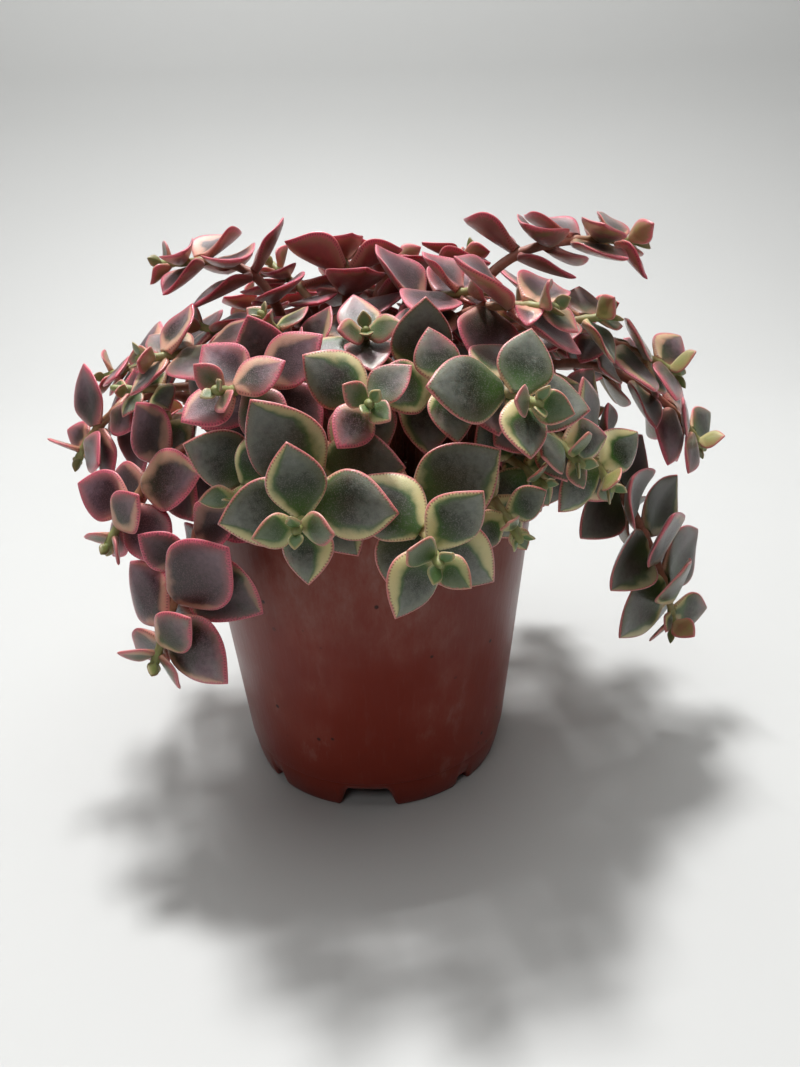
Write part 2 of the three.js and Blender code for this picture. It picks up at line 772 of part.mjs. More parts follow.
function named(name, geometry, colour, roughness) {
  geometry.computeVertexNormals();
  const material = new THREE.MeshStandardMaterial({ color: colour, roughness, metalness: 0 });
  const mesh = new THREE.Mesh(geometry, material);
  mesh.name = name;
  return mesh;
}

const routes = layRoutes();
const leaves = setLeaves(routes);
const plant = new THREE.Group();
plant.add(named("pot", buildPot(), colours.pot, 0.45));
plant.add(named("soil", buildSoil(routes), colours.soil, 0.95));
stems.forEach((stem, index) => {
  const own = leaves.filter((leaf) => leaf.stem === index);
  plant.add(named(stem.name, buildStem(stem, routes[index], own), colours.leaf, 0.5));
});

// The origin is under the middle of the whole plant, on the surface it stands on
const middle = new THREE.Box3().setFromObject(plant).getCenter(new THREE.Vector3());
plant.position.set(-middle.x, -middle.y, 0);

export default new THREE.Group().add(plant);
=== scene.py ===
import math

import bmesh
import bpy
import numpy as np
from mathutils import Matrix, Vector


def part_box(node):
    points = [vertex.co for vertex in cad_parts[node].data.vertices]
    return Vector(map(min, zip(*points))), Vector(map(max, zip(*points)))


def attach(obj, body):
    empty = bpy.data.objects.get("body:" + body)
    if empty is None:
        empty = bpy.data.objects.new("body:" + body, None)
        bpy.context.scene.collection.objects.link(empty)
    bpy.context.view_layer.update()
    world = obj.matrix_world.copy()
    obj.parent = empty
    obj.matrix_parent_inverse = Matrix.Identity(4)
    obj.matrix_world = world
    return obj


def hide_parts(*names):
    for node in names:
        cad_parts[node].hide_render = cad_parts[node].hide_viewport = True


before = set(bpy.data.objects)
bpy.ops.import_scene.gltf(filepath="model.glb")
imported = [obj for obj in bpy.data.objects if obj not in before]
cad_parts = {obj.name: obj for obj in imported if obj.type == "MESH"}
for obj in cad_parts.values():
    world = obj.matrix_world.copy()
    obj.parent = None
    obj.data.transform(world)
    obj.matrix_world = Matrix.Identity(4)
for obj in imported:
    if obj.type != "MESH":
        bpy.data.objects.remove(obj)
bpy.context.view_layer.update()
print("frame loaded")

mm = 0.001
potLow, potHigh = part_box("pot")
potAxis = np.array([(potLow.x + potHigh.x) / 2, (potLow.y + potHigh.y) / 2, 0])


# points in millimetres round the pot's axis, to metres in the shared frame
def toFrame(points):
    return np.asarray(points, float) * mm + potAxis


def linkObject(name, data):
    obj = bpy.data.objects.new(name, data)
    bpy.context.scene.collection.objects.link(obj)
    return obj


# camera: where the photo was taken from, in millimetres and degrees
cameraSetup = {"place": (0, -199.5, 147.6), "yaw": 2.33, "pitch": 23.05, "roll": -1.65, "focal": 800}
photoSize = (800, 1067)


def makeCamera():
    yaw, pitch, roll = (math.radians(cameraSetup[k]) for k in ("yaw", "pitch", "roll"))
    ahead = np.array([math.sin(yaw) * math.cos(pitch), math.cos(yaw) * math.cos(pitch), -math.sin(pitch)])
    level = np.array([math.cos(yaw), -math.sin(yaw), 0])
    above = np.cross(level, ahead)
    right = math.cos(roll) * level + math.sin(roll) * above
    upward = -math.sin(roll) * level + math.cos(roll) * above
    data = bpy.data.cameras.new("Camera")
    data.sensor_width = 36
    data.lens = 36 * cameraSetup["focal"] / max(photoSize)
    data.clip_start = 0.005
    data.clip_end = 20
    camera = linkObject("Camera", data)
    turn = Matrix([right, upward, -ahead]).transposed().to_4x4()
    camera.matrix_world = Matrix.Translation(toFrame(cameraSetup["place"])) @ turn
    bpy.context.scene.camera = camera


makeCamera()
print("camera set")


# sizes of the pot and the mix that the plant grows round, millimetres
potForm = {
    "height": 85.6,
    "rimRadius": 45,
    "rimHeight": 2.5,
    "wallTopRadius": 43.8,
    "wallBottomRadius": 36.7,
    "wall": 1.2,
    "footHeight": 8.8,
    "footTopRadius": 36.3,
    "footRadius": 34.6,
    "footRing": 3,
    "floorLift": 6.2,
    "floorThickness": 1.4,
}
soilForm = {"belowRim": 8, "gap": 0.3, "bump": 1.1}
soilTop = potForm["height"] - soilForm["belowRim"]

# how the stems run and how leaves are set on them
stemForm = {
    "rootRadius": 1.3,
    "tipRadius": 0.8,
    "taperLength": 40,
    "rootDepth": 6,
    "straight": 2,
    "rootPull": 0.8,
    "tipPull": 0.42,
    "steps": 48,
    "gap": 0.45,
    "swings": (0, 3, -3, 6, -6, 9, -9, 12, -12),
    "lifts": (0, 4, -4, 8, -8, 12),
}
leafForm = {
    "widthRatio": 0.82,
    "widestAt": 0.4,
    "clasp": 0.34,
    "taper": 2.3,
    "thickness": 0.7,
    "thicknessPerLength": 0.095,
    "thinning": 0.55,
    "turnVary": 16,
    "spreadVary": 12,
    "lengthVary": 0.16,
    "bend": (-0.15, 0.02),
    "cup": (-0.3, 0.12),
    "gap": 0.4,
    "least": 2.4,
    "sizes": (1, 0.86, 0.72, 0.58, 0.44),
    "turns": (0, 14, -14, 28, -28),
}
# leaves fold up like boats near the plant's top, and again far from the stem's tip
leafFold = {"low": 105, "high": 128, "firstLevel": 3, "levels": 3, "bend": 0.12, "cup": 0.5}
leafLight = {
    "up": 0.6,
    "outward": 0.5,
    "bright": 0.65,
    "levelHeight": 120,
    "fade": 26,
    "leastSideways": 0.08,
    "scatter": 0.4,
    "slack": 38,
    "follow": 0.95,
    "youngFollow": 0.3,
    "youngLevels": 2,
    "mostTurn": 85,
    "leastOut": 0.25,
    "nearAxis": 12,
}

# pairs from the tip down: distance from the tip, part of the full length, spread
leafPairs = [
    (1.6, 0.2, 28),
    (3.6, 0.42, 46),
    (6.8, 0.7, 60),
    (11.4, 0.9, 70),
    (17.4, 1, 78),
    (24.4, 1, 84),
    (32, 0.96, 88),
    (40, 0.92, 90),
    (48.5, 0.88, 92),
    (57, 0.84, 92),
]

# name, root azimuth and radius, tip azimuth, radius and height, rise, slope, pairs, leaf length, roll,
# and the blush: 0 is a green and cream stem, 1 a wine red one
stems = [
    ("stem_front_left", -104, 30, -101, 70, 93, 45, 8, 6, 19, 0, 0.25),
    ("stem_front", -84, 33, -80.5, 74, 87, 40, 0, 6, 19.5, 35, 0.05),
    ("stem_front_right_low", -68, 35, -63, 65, 84, 28, -45, 4, 14, 60, 0.05),
    ("stem_right_front", -62, 28, -62, 68, 112, 60, 5, 6, 18.5, 20, 0.35),
    ("stem_front_upper", -72, 18, -69, 51, 114, 55, 25, 6, 16.5, 0, 0.3),
    ("stem_front_middle", -92, 20, -89, 54, 112, 50, 20, 5, 15.5, 45, 0.45),
    ("stem_trailing_left", -126, 35, -136, 68, 53, 60, -60, 10, 19.5, 45, 0.75),
    ("stem_left_low", -165, 35, -175, 72, 88, 52, -65, 6, 17.5, 90, 0.7),
    ("stem_left_bud", -158, 27, -168, 60, 108, 48, 15, 4, 10.5, 0, 0.3),
    ("stem_left_top", 172, 16, 170, 50, 133, 68, -5, 7, 17, 45, 0.95),
    ("stem_left_upper", -150, 26, -156, 54, 116, 60, 5, 6, 17.5, 0, 0.6),
    ("stem_left_front", -128, 26, -119, 58, 115, 55, 20, 6, 15.5, 45, 0.7),
    ("stem_left_centre", -140, 12, -137, 30, 125, 50, 50, 5, 13, 0, 0.6),
    ("stem_top_left", 120, 12, 103, 22, 134, 56, 10, 6, 16.5, 0, 0.95),
    ("stem_top_back", 80, 16, 73, 42, 130, 64, 5, 6, 16, 30, 0.9),
    ("stem_top_middle", 30, 10, 35, 37, 133, 60, 10, 6, 16, 10, 0.9),
    ("stem_top_front", -40, 10, -35, 34, 128, 57, 10, 6, 18.5, 0, 0.85),
    ("stem_top_right_front", -50, 20, -38, 52, 125, 60, 0, 6, 20, 45, 0.7),
    ("stem_top_right", 5, 20, 6, 71, 135, 72, -5, 7, 17, 45, 0.7),
    ("stem_right_bud", -20, 25, -14, 60, 121, 62, 15, 6, 17.5, 40, 0.45),
    ("stem_trailing_right", -12, 35, -8, 83, 34, 60, -85, 10, 20, 45, 0.4),
    ("stem_right_side", 8, 34, 8, 96, 78, 58, -60, 8, 17, 45, 0.5),
    ("stem_right_low", -42, 34, -46, 64, 95, 45, -30, 6, 17.5, 70, 0.3),
    ("stem_centre_front", -90, 6, -88, 30, 122, 52, 30, 6, 18.5, 0, 0.6),
    ("stem_left_back_low", -146, 35, -150, 68, 76, 45, -60, 6, 16.5, 45, 0.8),
    ("stem_right_upper", -4, 28, -2, 80, 103, 56, -35, 6, 18.5, 45, 0.5),
    ("stem_right_inner", -27, 34, -30, 64, 84, 48, -60, 6, 19, 45, 0.25),
    ("stem_right_middle", 10, 12, -4, 42, 122, 52, 30, 6, 17.5, 65, 0.6),
    ("stem_left_middle", -172, 20, -178, 42, 121, 52, 25, 6, 17.5, 20, 0.75),
    ("stem_back_1", 28, 34, 27, 92, 94, 54, -30, 7, 17.5, 15, 0.5),
    ("stem_back_2", 50, 34, 50, 90, 78, 58, -60, 8, 18.5, 45, 0.3),
    ("stem_back_3", 73, 34, 74, 74, 92, 50, -35, 7, 19, 0, 0.6),
    ("stem_back_4", 97, 35, 95, 72, 60, 56, -80, 8, 19, 40, 0.35),
    ("stem_back_5", 120, 34, 121, 74, 95, 50, -30, 7, 17.5, 80, 0.7),
    ("stem_back_6", 146, 34, 146, 73, 78, 50, -60, 7, 18.5, 20, 0.45),
    ("stem_back_7", 168, 30, 166, 72, 104, 52, -20, 6, 17.5, 55, 0.8),
    ("stem_back_upper_1", 30, 22, 22, 72, 116, 62, 0, 6, 19, 30, 0.7),
    ("stem_back_upper_2", 62, 24, 62, 58, 120, 60, 0, 6, 18.5, 70, 0.8),
    ("stem_back_upper_3", 95, 24, 94, 58, 121, 60, 0, 6, 17.5, 10, 0.7),
    ("stem_back_upper_4", 128, 22, 128, 56, 119, 58, 10, 6, 17.5, 45, 0.85),
    ("stem_back_middle", 150, 12, 140, 30, 132, 60, 30, 6, 16.5, 45, 0.9),
    ("stem_rim_1", -114, 37, -117, 60, 92, 30, -25, 4, 17.5, 20, 0.15),
    ("stem_rim_2", -52, 37, -50, 58, 90, 30, -25, 4, 16.5, 60, 0.1),
    ("stem_rim_3", 2, 37, 0, 60, 90, 32, -25, 5, 16.5, 45, 0.3),
    ("stem_rim_4", 40, 37, 40, 76, 90, 40, -35, 5, 18.5, 0, 0.2),
    ("stem_rim_5", 84, 37, 84, 61, 90, 32, -30, 5, 16.5, 30, 0.25),
    ("stem_rim_6", 133, 37, 134, 60, 92, 32, -25, 5, 16.5, 70, 0.2),
    ("stem_rim_7", 178, 37, 180, 60, 90, 32, -25, 5, 16.5, 10, 0.35),
]
up = np.array([0.0, 0, 1])
brightSide = np.array([0.0, -1, 0])
spotStep = 1.5  # between the places on a stem that are checked against the others


def polar(azimuth, radius, height):
    turn = math.radians(azimuth)
    return np.array([radius * math.cos(turn), radius * math.sin(turn), height])


def unit(vector):
    return vector / math.sqrt(vector @ vector)


def turned(vector, axis, angle):
    c, s = math.cos(angle), math.sin(angle)
    return vector * c + np.cross(axis, vector) * s + axis * (axis @ vector) * (1 - c)


# repeatable random numbers from 0 to 1
def makeRandom(seed):
    state = seed
    while True:
        state = (state * 1664525 + 1013904223) % 4294967296
        yield state / 4294967296


# the pot's outer radius at a height
def wallRadius(height):
    foot, rim = potForm["footHeight"], potForm["height"] - potForm["rimHeight"]
    share = (height - foot) / (rim - foot)
    slanted = potForm["wallBottomRadius"] + share * (potForm["wallTopRadius"] - potForm["wallBottomRadius"])
    above = np.where(height < foot, potForm["footTopRadius"], slanted)
    return np.where(height >= rim, potForm["rimRadius"], above)


# the mix, the pot's lip or the table, whichever is under a point
def groundHeight(points):
    radius = np.hypot(points[..., 0], points[..., 1])
    outside = np.where(radius < wallRadius(points[..., 2]) + 0.6, potForm["height"], 0)
    inside = radius < potForm["wallTopRadius"] - potForm["wall"] - 1
    return np.where(inside, soilTop + soilForm["bump"], outside)


# a stem's line: straight up through the mix, then one arch to its tip
def makeRoute(stem, lift, swing):
    rootAzimuth, rootRadius, tipAzimuth, tipRadius, tipHeight, rise, slope = stem[1:8]
    root = polar(rootAzimuth, rootRadius, soilTop - stemForm["rootDepth"])
    start = polar(rootAzimuth, rootRadius, soilTop + stemForm["straight"])
    tip = polar(tipAzimuth + swing, tipRadius, tipHeight)
    out = polar(tipAzimuth, 1, 0)
    heading = out * math.cos(math.radians(slope)) + up * math.sin(math.radians(slope))
    reach = stemForm["tipPull"] * np.linalg.norm(start - tip)
    t = (np.arange(stemForm["steps"] + 1) / stemForm["steps"])[:, None]
    k = 1 - t
    rising = start + up * (rise + lift) * stemForm["rootPull"]
    curve = start * k**3 + rising * 3 * k * k * t + (tip - heading * reach) * 3 * k * t * t + tip * t**3
    points = np.vstack([curve[::-1], root])
    distances = np.concatenate([[0], np.cumsum(np.linalg.norm(np.diff(points, axis=0), axis=1))])
    return {"points": points, "distances": distances, "length": distances[-1], "out": out}


def pointAt(route, distance):
    distances, points = route["distances"], route["points"]
    i = np.clip(np.searchsorted(distances, distance), 1, len(points) - 1)
    share = (distance - distances[i - 1]) / (distances[i] - distances[i - 1])
    return points[i - 1] + (points[i] - points[i - 1]) * np.expand_dims(share, -1)


# directions at a point of a stem: towards the tip, sideways, and over its upper side
def frameAt(route, distance):
    ahead = pointAt(route, max(distance - 1, 0))
    behind = pointAt(route, min(distance + 1, route["length"]))
    along = unit(ahead - behind)
    side = np.cross(up, route["out"])
    side = unit(side - along * (side @ along))
    return pointAt(route, distance), along, side, np.cross(along, side)


def stemRadiusAt(distance):
    share = np.minimum(distance / stemForm["taperLength"], 1)
    return stemForm["tipRadius"] + share * (stemForm["rootRadius"] - stemForm["tipRadius"])


# how near a stem comes to the others and to the lip
def clearance(spots, others):
    nearest = np.inf
    if len(others):
        nearest = np.linalg.norm(spots[:, None] - others, axis=2).min()
    high = spots[spots[:, 2] > soilTop + 3]
    if len(high):
        nearest = min(nearest, (high[:, 2] - groundHeight(high) + stemForm["rootRadius"]).min())
    return nearest


# each stem takes the first swing and lift that keep it clear, or else the best one
def layRoutes():
    others = np.empty((0, 3))
    routes = []
    for stem in stems:
        best = None
        for swing, lift in [(s, l) for s in stemForm["swings"] for l in stemForm["lifts"]]:
            route = makeRoute(stem, lift, swing)
            spots = pointAt(route, np.arange(0, route["length"], spotStep))
            nearest = clearance(spots, others)
            if best is None or nearest > best[0]:
                best = (nearest, route, spots)
            if nearest > 2 * stemForm["rootRadius"] + stemForm["gap"]:
                break
        routes.append(best[1])
        others = np.vstack([others, best[2]])
    return routes


# a leaf's half-width along it, as a part of its greatest
def leafOutline(t):
    widestAt, clasp = leafForm["widestAt"], leafForm["clasp"]
    rising = clasp + (1 - clasp) * np.sin(0.5 * np.pi * t / widestAt)
    falling = 1 - (np.maximum(t - widestAt, 0) / (1 - widestAt)) ** leafForm["taper"]
    return np.where(t < widestAt, rising, falling)


def halfThickness(leaf, t):
    return 0.5 * leaf["thickness"] * (1 - leafForm["thinning"] * t)


def leafRise(leaf, t, y):
    return leaf["bend"] * leaf["length"] * t * t + leaf["cup"] * y * y / leaf["halfWidth"]


def leafPoints(leaf, t, w):
    y = leaf["halfWidth"] * leafOutline(t) * w
    parts = (leaf["length"] * t, y, leafRise(leaf, t, y))
    axes = (leaf["along"], leaf["side"], leaf["normal"])
    return leaf["base"] + sum(np.multiply.outer(part, axis) for part, axis in zip(parts, axes))


# places on a leaf that are checked against the others
spotT = np.array([t for t in (0.12, 0.26, 0.4, 0.54, 0.68, 0.82) for _ in (0, 1)] + [0.2, 0.4, 0.7, 1])
spotW = np.array([-0.9, 0.9] * 6 + [0.0] * 4)


def lightAt(point, out):
    outward = np.array([point[0], point[1], 0])
    if math.sqrt(outward @ outward) < leafLight["nearAxis"]:
        outward = out
    outward = unit(outward)
    low = min((leafLight["levelHeight"] - point[2]) / leafLight["fade"], 1)
    sideways = outward * leafLight["outward"] + brightSide * leafLight["bright"] * min(1, 1 - outward[1])
    return unit(sideways * max(low, leafLight["leastSideways"]) + up * leafLight["up"])


# one leaf: it leaves the stem at its spread and turns its face to the light
def makeLeaf(node, habit, size, pitch, yaw):
    point, ahead, sideways, over = node["frame"]
    turn, spread = math.radians(habit["turn"]), math.radians(habit["spread"])
    out = over * math.cos(turn) + sideways * math.sin(turn)
    along = ahead * math.cos(spread) + out * math.sin(spread)
    normal = ahead * math.sin(spread) - out * math.cos(spread)
    axis = unit(np.cross(normal, habit["toLight"]))
    away = math.acos(max(-1, min(1, normal @ habit["toLight"])))
    away = max(0, away - math.radians(leafLight["slack"]) * max(0, ahead @ habit["toLight"]))
    share = node["follow"]
    while share > 0:
        bent = min(away * share, math.radians(leafLight["mostTurn"]))
        tried = turned(along, axis, bent)
        if tried @ out > leafLight["leastOut"]:
            along = tried
            normal = turned(normal, axis, bent)
            break
        share -= 0.1
    side = np.cross(normal, along)
    along, normal = (turned(v, side, math.radians(pitch)) for v in (along, normal))
    along, side = (turned(v, normal, math.radians(yaw)) for v in (along, side))
    length = habit["length"] * size
    leaf = {
        "base": point + out * node["radius"] * 0.75,
        "along": along,
        "side": side,
        "normal": normal,
        "length": length,
        "halfWidth": 0.5 * leafForm["widthRatio"] * length,
        "thickness": leafForm["thickness"] + leafForm["thicknessPerLength"] * length,
        "bend": habit["bend"],
        "cup": habit["cup"],
        "stem": node["stem"],
        "level": node["level"],
        "distance": node["distance"],
    }
    leaf["middle"] = leafPoints(leaf, 0.5, 0.0)
    leaf["spots"] = leafPoints(leaf, spotT, spotW)
    leaf["spotHalf"] = halfThickness(leaf, spotT) * (1 - 0.6 * spotW * spotW)
    return leaf


# whether balls round points come too near leaf blades, for the part of a blade beyond its start
def nearBlade(leaf, points, ball, start):
    away = points - leaf["base"]
    t = (away * leaf["along"]).sum(-1) / leaf["length"]
    y = (away * leaf["side"]).sum(-1)
    margin = 0.3 + 0.8 * ball
    clamped = np.clip(t, 0, 1)
    halfWidth = leaf["halfWidth"] * leafOutline(clamped)
    inside = np.minimum(np.abs(y), halfWidth)
    sag = 0.5 * leaf["cup"] * inside * (halfWidth - inside) / leaf["halfWidth"]
    gap = np.abs((away * leaf["normal"]).sum(-1) - leafRise(leaf, t, y) - sag)
    share = inside / (halfWidth + 1e-6)
    thick = halfThickness(leaf, clamped) * (1 - 0.6 * share * share)
    beside = (t >= start) & (t <= 1 + margin / leaf["length"]) & (np.abs(y) <= halfWidth + margin)
    return beside & (gap < ball + thick + np.abs(sag) + leafForm["gap"])


# whether a leaf is clear of the ground, of stems and of other leaves, looking only at those near it
def isClear(leaf, stemSpots, placed):
    spots, half = leaf["spots"], leaf["spotHalf"]
    if np.any((spotT > 0.3) & (spots[:, 2] < groundHeight(spots) + half + 0.5)):
        return False
    own = stemSpots["stem"] == leaf["stem"]
    near = np.linalg.norm(stemSpots["point"] - leaf["middle"], axis=1) <= 0.62 * leaf["length"] + 3
    near &= ~(own & (np.abs(stemSpots["distance"] - leaf["distance"]) < 3))
    start = np.where(own[near], 0.12, -0.1)
    if np.any(nearBlade(leaf, stemSpots["point"][near], stemSpots["radius"][near], start)):
        return False
    count = placed["count"]
    if not count:
        return True
    own = placed["stem"][:count] == leaf["stem"]
    reach = 0.62 * (leaf["length"] + placed["length"][:count]) + 2
    near = np.linalg.norm(placed["middle"][:count] - leaf["middle"], axis=1) <= reach
    near &= ~(own & (placed["level"][:count] == leaf["level"]))
    near = np.flatnonzero(near)
    if not len(near):
        return True
    others = {key: placed[key][near][:, None] for key in bladeKeys}
    own = own[near][:, None]
    start = np.where(own, 0.14, -0.06)
    counted = ~(own & (spotT < 0.2))
    if np.any(nearBlade(others, spots[None], half[None], start) & counted):
        return False
    return not np.any(nearBlade(leaf, placed["spots"][near], placed["spotHalf"][near], start) & counted)


bladeKeys = ("base", "along", "side", "normal", "length", "halfWidth", "thickness", "bend", "cup")
placedShapes = {
    **{key: (3,) for key in ("base", "along", "side", "normal", "middle")},
    **{key: () for key in ("length", "halfWidth", "thickness", "bend", "cup", "stem", "level")},
    "spots": (len(spotT), 3),
    "spotHalf": (len(spotT),),
}


# how far a leaf folds up, from 0 to 1
def foldAt(height, level):
    high = (height - leafFold["low"]) / (leafFold["high"] - leafFold["low"])
    old = (level - leafFold["firstLevel"]) / leafFold["levels"]
    return min(max(high, old, 0), 1)


# all leaves, from the tips down, each turned or made smaller until it is clear
def setLeaves(routes):
    rows = []
    for index, route in enumerate(routes):
        distances = np.arange(0, route["length"] - stemForm["rootDepth"], spotStep)
        rows += [(index, d, stemRadiusAt(d), *p) for d, p in zip(distances, pointAt(route, distances))]
    table = np.array(rows)
    stemSpots = {"stem": table[:, 0], "distance": table[:, 1], "radius": table[:, 2], "point": table[:, 3:]}
    most = 2 * len(stems) * len(leafPairs)
    placed = {key: np.zeros((most, *shape)) for key, shape in placedShapes.items()}
    placed["count"] = 0
    leaves = []
    tries = [(s, p, y) for s in leafForm["sizes"] for p in leafForm["turns"] for y in leafForm["turns"]]
    for level, (distance, part, spread) in enumerate(leafPairs):
        for index, stem in enumerate(stems):
            route, pairCount, leafLength, roll, blush = routes[index], *stem[8:]
            if level >= pairCount or distance > route["length"] - 2 * stemForm["rootDepth"]:
                continue
            random = makeRandom(1000 * index + 37 * level + 11)
            node = {
                "stem": index,
                "level": level,
                "distance": distance,
                "frame": frameAt(route, distance),
                "radius": stemRadiusAt(distance),
                "follow": leafLight["youngFollow" if level < leafLight["youngLevels"] else "follow"],
            }
            jitter = (next(random) - 0.5) * leafForm["turnVary"]
            toLight = lightAt(node["frame"][0], route["out"])
            fold = foldAt(node["frame"][0][2], level)
            for half in (0, 1):
                habit = {"turn": roll + 90 * level + jitter + 180 * half}
                habit["spread"] = spread + (next(random) - 0.5) * leafForm["spreadVary"]
                longer = 1 + leafForm["lengthVary"] * (next(random) - 0.5)
                habit["length"] = leafLength * part * longer
                for key in ("bend", "cup"):
                    low, high = leafForm[key]
                    share = next(random)
                    habit[key] = (1 - share) * low + share * high + fold * leafFold[key]
                scatter = np.array([next(random) - 0.5, next(random) - 0.5, 0]) * leafLight["scatter"]
                habit["toLight"] = unit(toLight + scatter)
                for size, pitch, yaw in tries:
                    if habit["length"] * size < leafForm["least"]:
                        break
                    leaf = makeLeaf(node, habit, size, pitch, yaw)
                    if isClear(leaf, stemSpots, placed):
                        leaf["blush"] = blush
                        leaf["half"] = half
                        leaves.append(leaf)
                        for key in placedShapes:
                            placed[key][placed["count"]] = leaf[key]
                        placed["count"] += 1
                        break
    return leaves


routes = layRoutes()
leaves = setLeaves(routes)
print(len(leaves), "leaves set on", len(stems), "stems")


# a mesh object from points in millimetres, faces of three or four corners, and values at its points
def makePiece(name, points, faces, materials, faceMaterial=None, values=None):
    mesh = bpy.data.meshes.new(name)
    mesh.from_pydata(toFrame(points), [], faces)
    for material in materials:
        mesh.materials.append(material)
    if faceMaterial is not None:
        mesh.polygons.foreach_set("material_index", np.asarray(faceMaterial, np.int32))
    for key, triples in (values or {}).items():
        layer = mesh.attributes.new(key, "FLOAT_VECTOR", "POINT")
        layer.data.foreach_set("vector", np.asarray(triples, np.float32).ravel())
    mesh.shade_smooth()
    mesh.update()
    piece = linkObject(name, mesh)
    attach(piece, "root")
    return piece


# node helpers: a value is a number, a colour or another node's output
def addNode(tree, kind, values=(), output=0, **settings):
    node = tree.nodes.new("ShaderNode" + kind)
    for key, value in settings.items():
        setattr(node, key, value)
    for key, value in dict(values).items():
        socket = node.inputs[key]
        if isinstance(value, bpy.types.NodeSocket):
            tree.links.new(value, socket)
        elif value is not None:
            socket.default_value = (*value, 1) if socket.type == "RGBA" else value
    return node.outputs[output]


def calc(tree, operation, *values):
    return addNode(tree, "Math", enumerate(values), operation=operation)


def times(tree, value, *others):
    for other in others:
        value = calc(tree, "MULTIPLY", value, other)
    return value


# a value raised and lowered by a noise
def varied(tree, value, grain, amount=1):
    return calc(tree, "MULTIPLY_ADD", calc(tree, "SUBTRACT", grain, 0.5), amount, value)


def smooth(tree, value, low, high, first=0.0, last=1.0):
    values = {"Value": value, "From Min": low, "From Max": high, "To Min": first, "To Max": last}
    return addNode(tree, "MapRange", values, interpolation_type="SMOOTHSTEP")


def blend(tree, share, first, second):
    values = {0: share, 6: first, 7: second}
    return addNode(tree, "Mix", values, output=2, data_type="RGBA")


def blendValue(tree, share, first, second):
    return addNode(tree, "Mix", {0: share, 2: first, 3: second})


def noise(tree, place, scale, detail=2.0, rough=0.5):
    values = {"Vector": place, "Scale": scale, "Detail": detail, "Roughness": rough}
    return addNode(tree, "TexNoise", values)


# dots round scattered points, 0 outside and 1 inside
def dots(tree, place, scale, outer, inner):
    return smooth(tree, addNode(tree, "TexVoronoi", {"Vector": place, "Scale": scale}), outer, inner)


def bump(tree, height, strength, distance, under=None):
    values = {"Height": height, "Strength": strength, "Distance": distance, "Normal": under}
    return addNode(tree, "Bump", values)


def attribute(tree, name):
    return addNode(tree, "Attribute", output=1, attribute_name=name)


def parts(tree, vector):
    node = tree.nodes.new("ShaderNodeSeparateXYZ")
    tree.links.new(vector, node.inputs[0])
    return tuple(node.outputs)


def makeMaterial(name, **fixed):
    material = bpy.data.materials.new(name)
    material.use_nodes = True
    tree = material.node_tree
    shader = next(n for n in tree.nodes if n.type == "BSDF_PRINCIPLED")
    for key, value in fixed.items():
        shader.inputs[key.replace("_", " ")].default_value = value
    return material, tree, shader


# joins what varies over a surface to the shader's sockets
def dress(tree, shader, **varying):
    for key, value in varying.items():
        tree.links.new(value, shader.inputs[key.replace("_", " ")])


# the leaf's skin: a dark velvety middle that pales to its margin, with painted shade and a painted tip
# highlight, cream patches and a pink rim
leafPaint = {
    "greenMiddle": (0.011, 0.015, 0.004),
    "greyBloom": (0.095, 0.1, 0.066),
    # painted highlight colours for the leaf tips, grey and mauve
    "greyTipHighlight": (0.36, 0.38, 0.34),
    "wineMiddle": (0.024, 0.004, 0.006),
    "mauveBloom": (0.095, 0.03, 0.045),
    "mauveTipHighlight": (0.44, 0.27, 0.33),
    "greenEdge": (0.24, 0.25, 0.15),
    "wineEdge": (0.5, 0.15, 0.15),
    "baseGreen": (0.06, 0.15, 0.022),
    "youngGreen": (0.1, 0.21, 0.05),
    "cream": (0.78, 0.68, 0.34),
    "flushedCream": (0.76, 0.4, 0.28),
    "rim": (0.62, 0.15, 0.17),
    "wineRim": (0.7, 0.12, 0.19),
    # painted light: the pale glow along the thin side of the leaf
    "paintedLitEdge": (0.8, 0.46, 0.4),
    "underGreen": (0.34, 0.27, 0.08),
    "underWine": (0.46, 0.1, 0.09),
    "underEdge": (0.5, 0.27, 0.14),
    # painted shade for the old leaves inside the plant
    "ageAndPaintedShade": (0.022, 0.011, 0.005),
    "tooth": (0.14, 0.01, 0.02),
    "pore": (0.42, 0.38, 0.3),
    "grain": (0.19, 0.195, 0.16),
    "wineGrain": (0.24, 0.12, 0.15),
    "toothSpacing": 0.62,
}


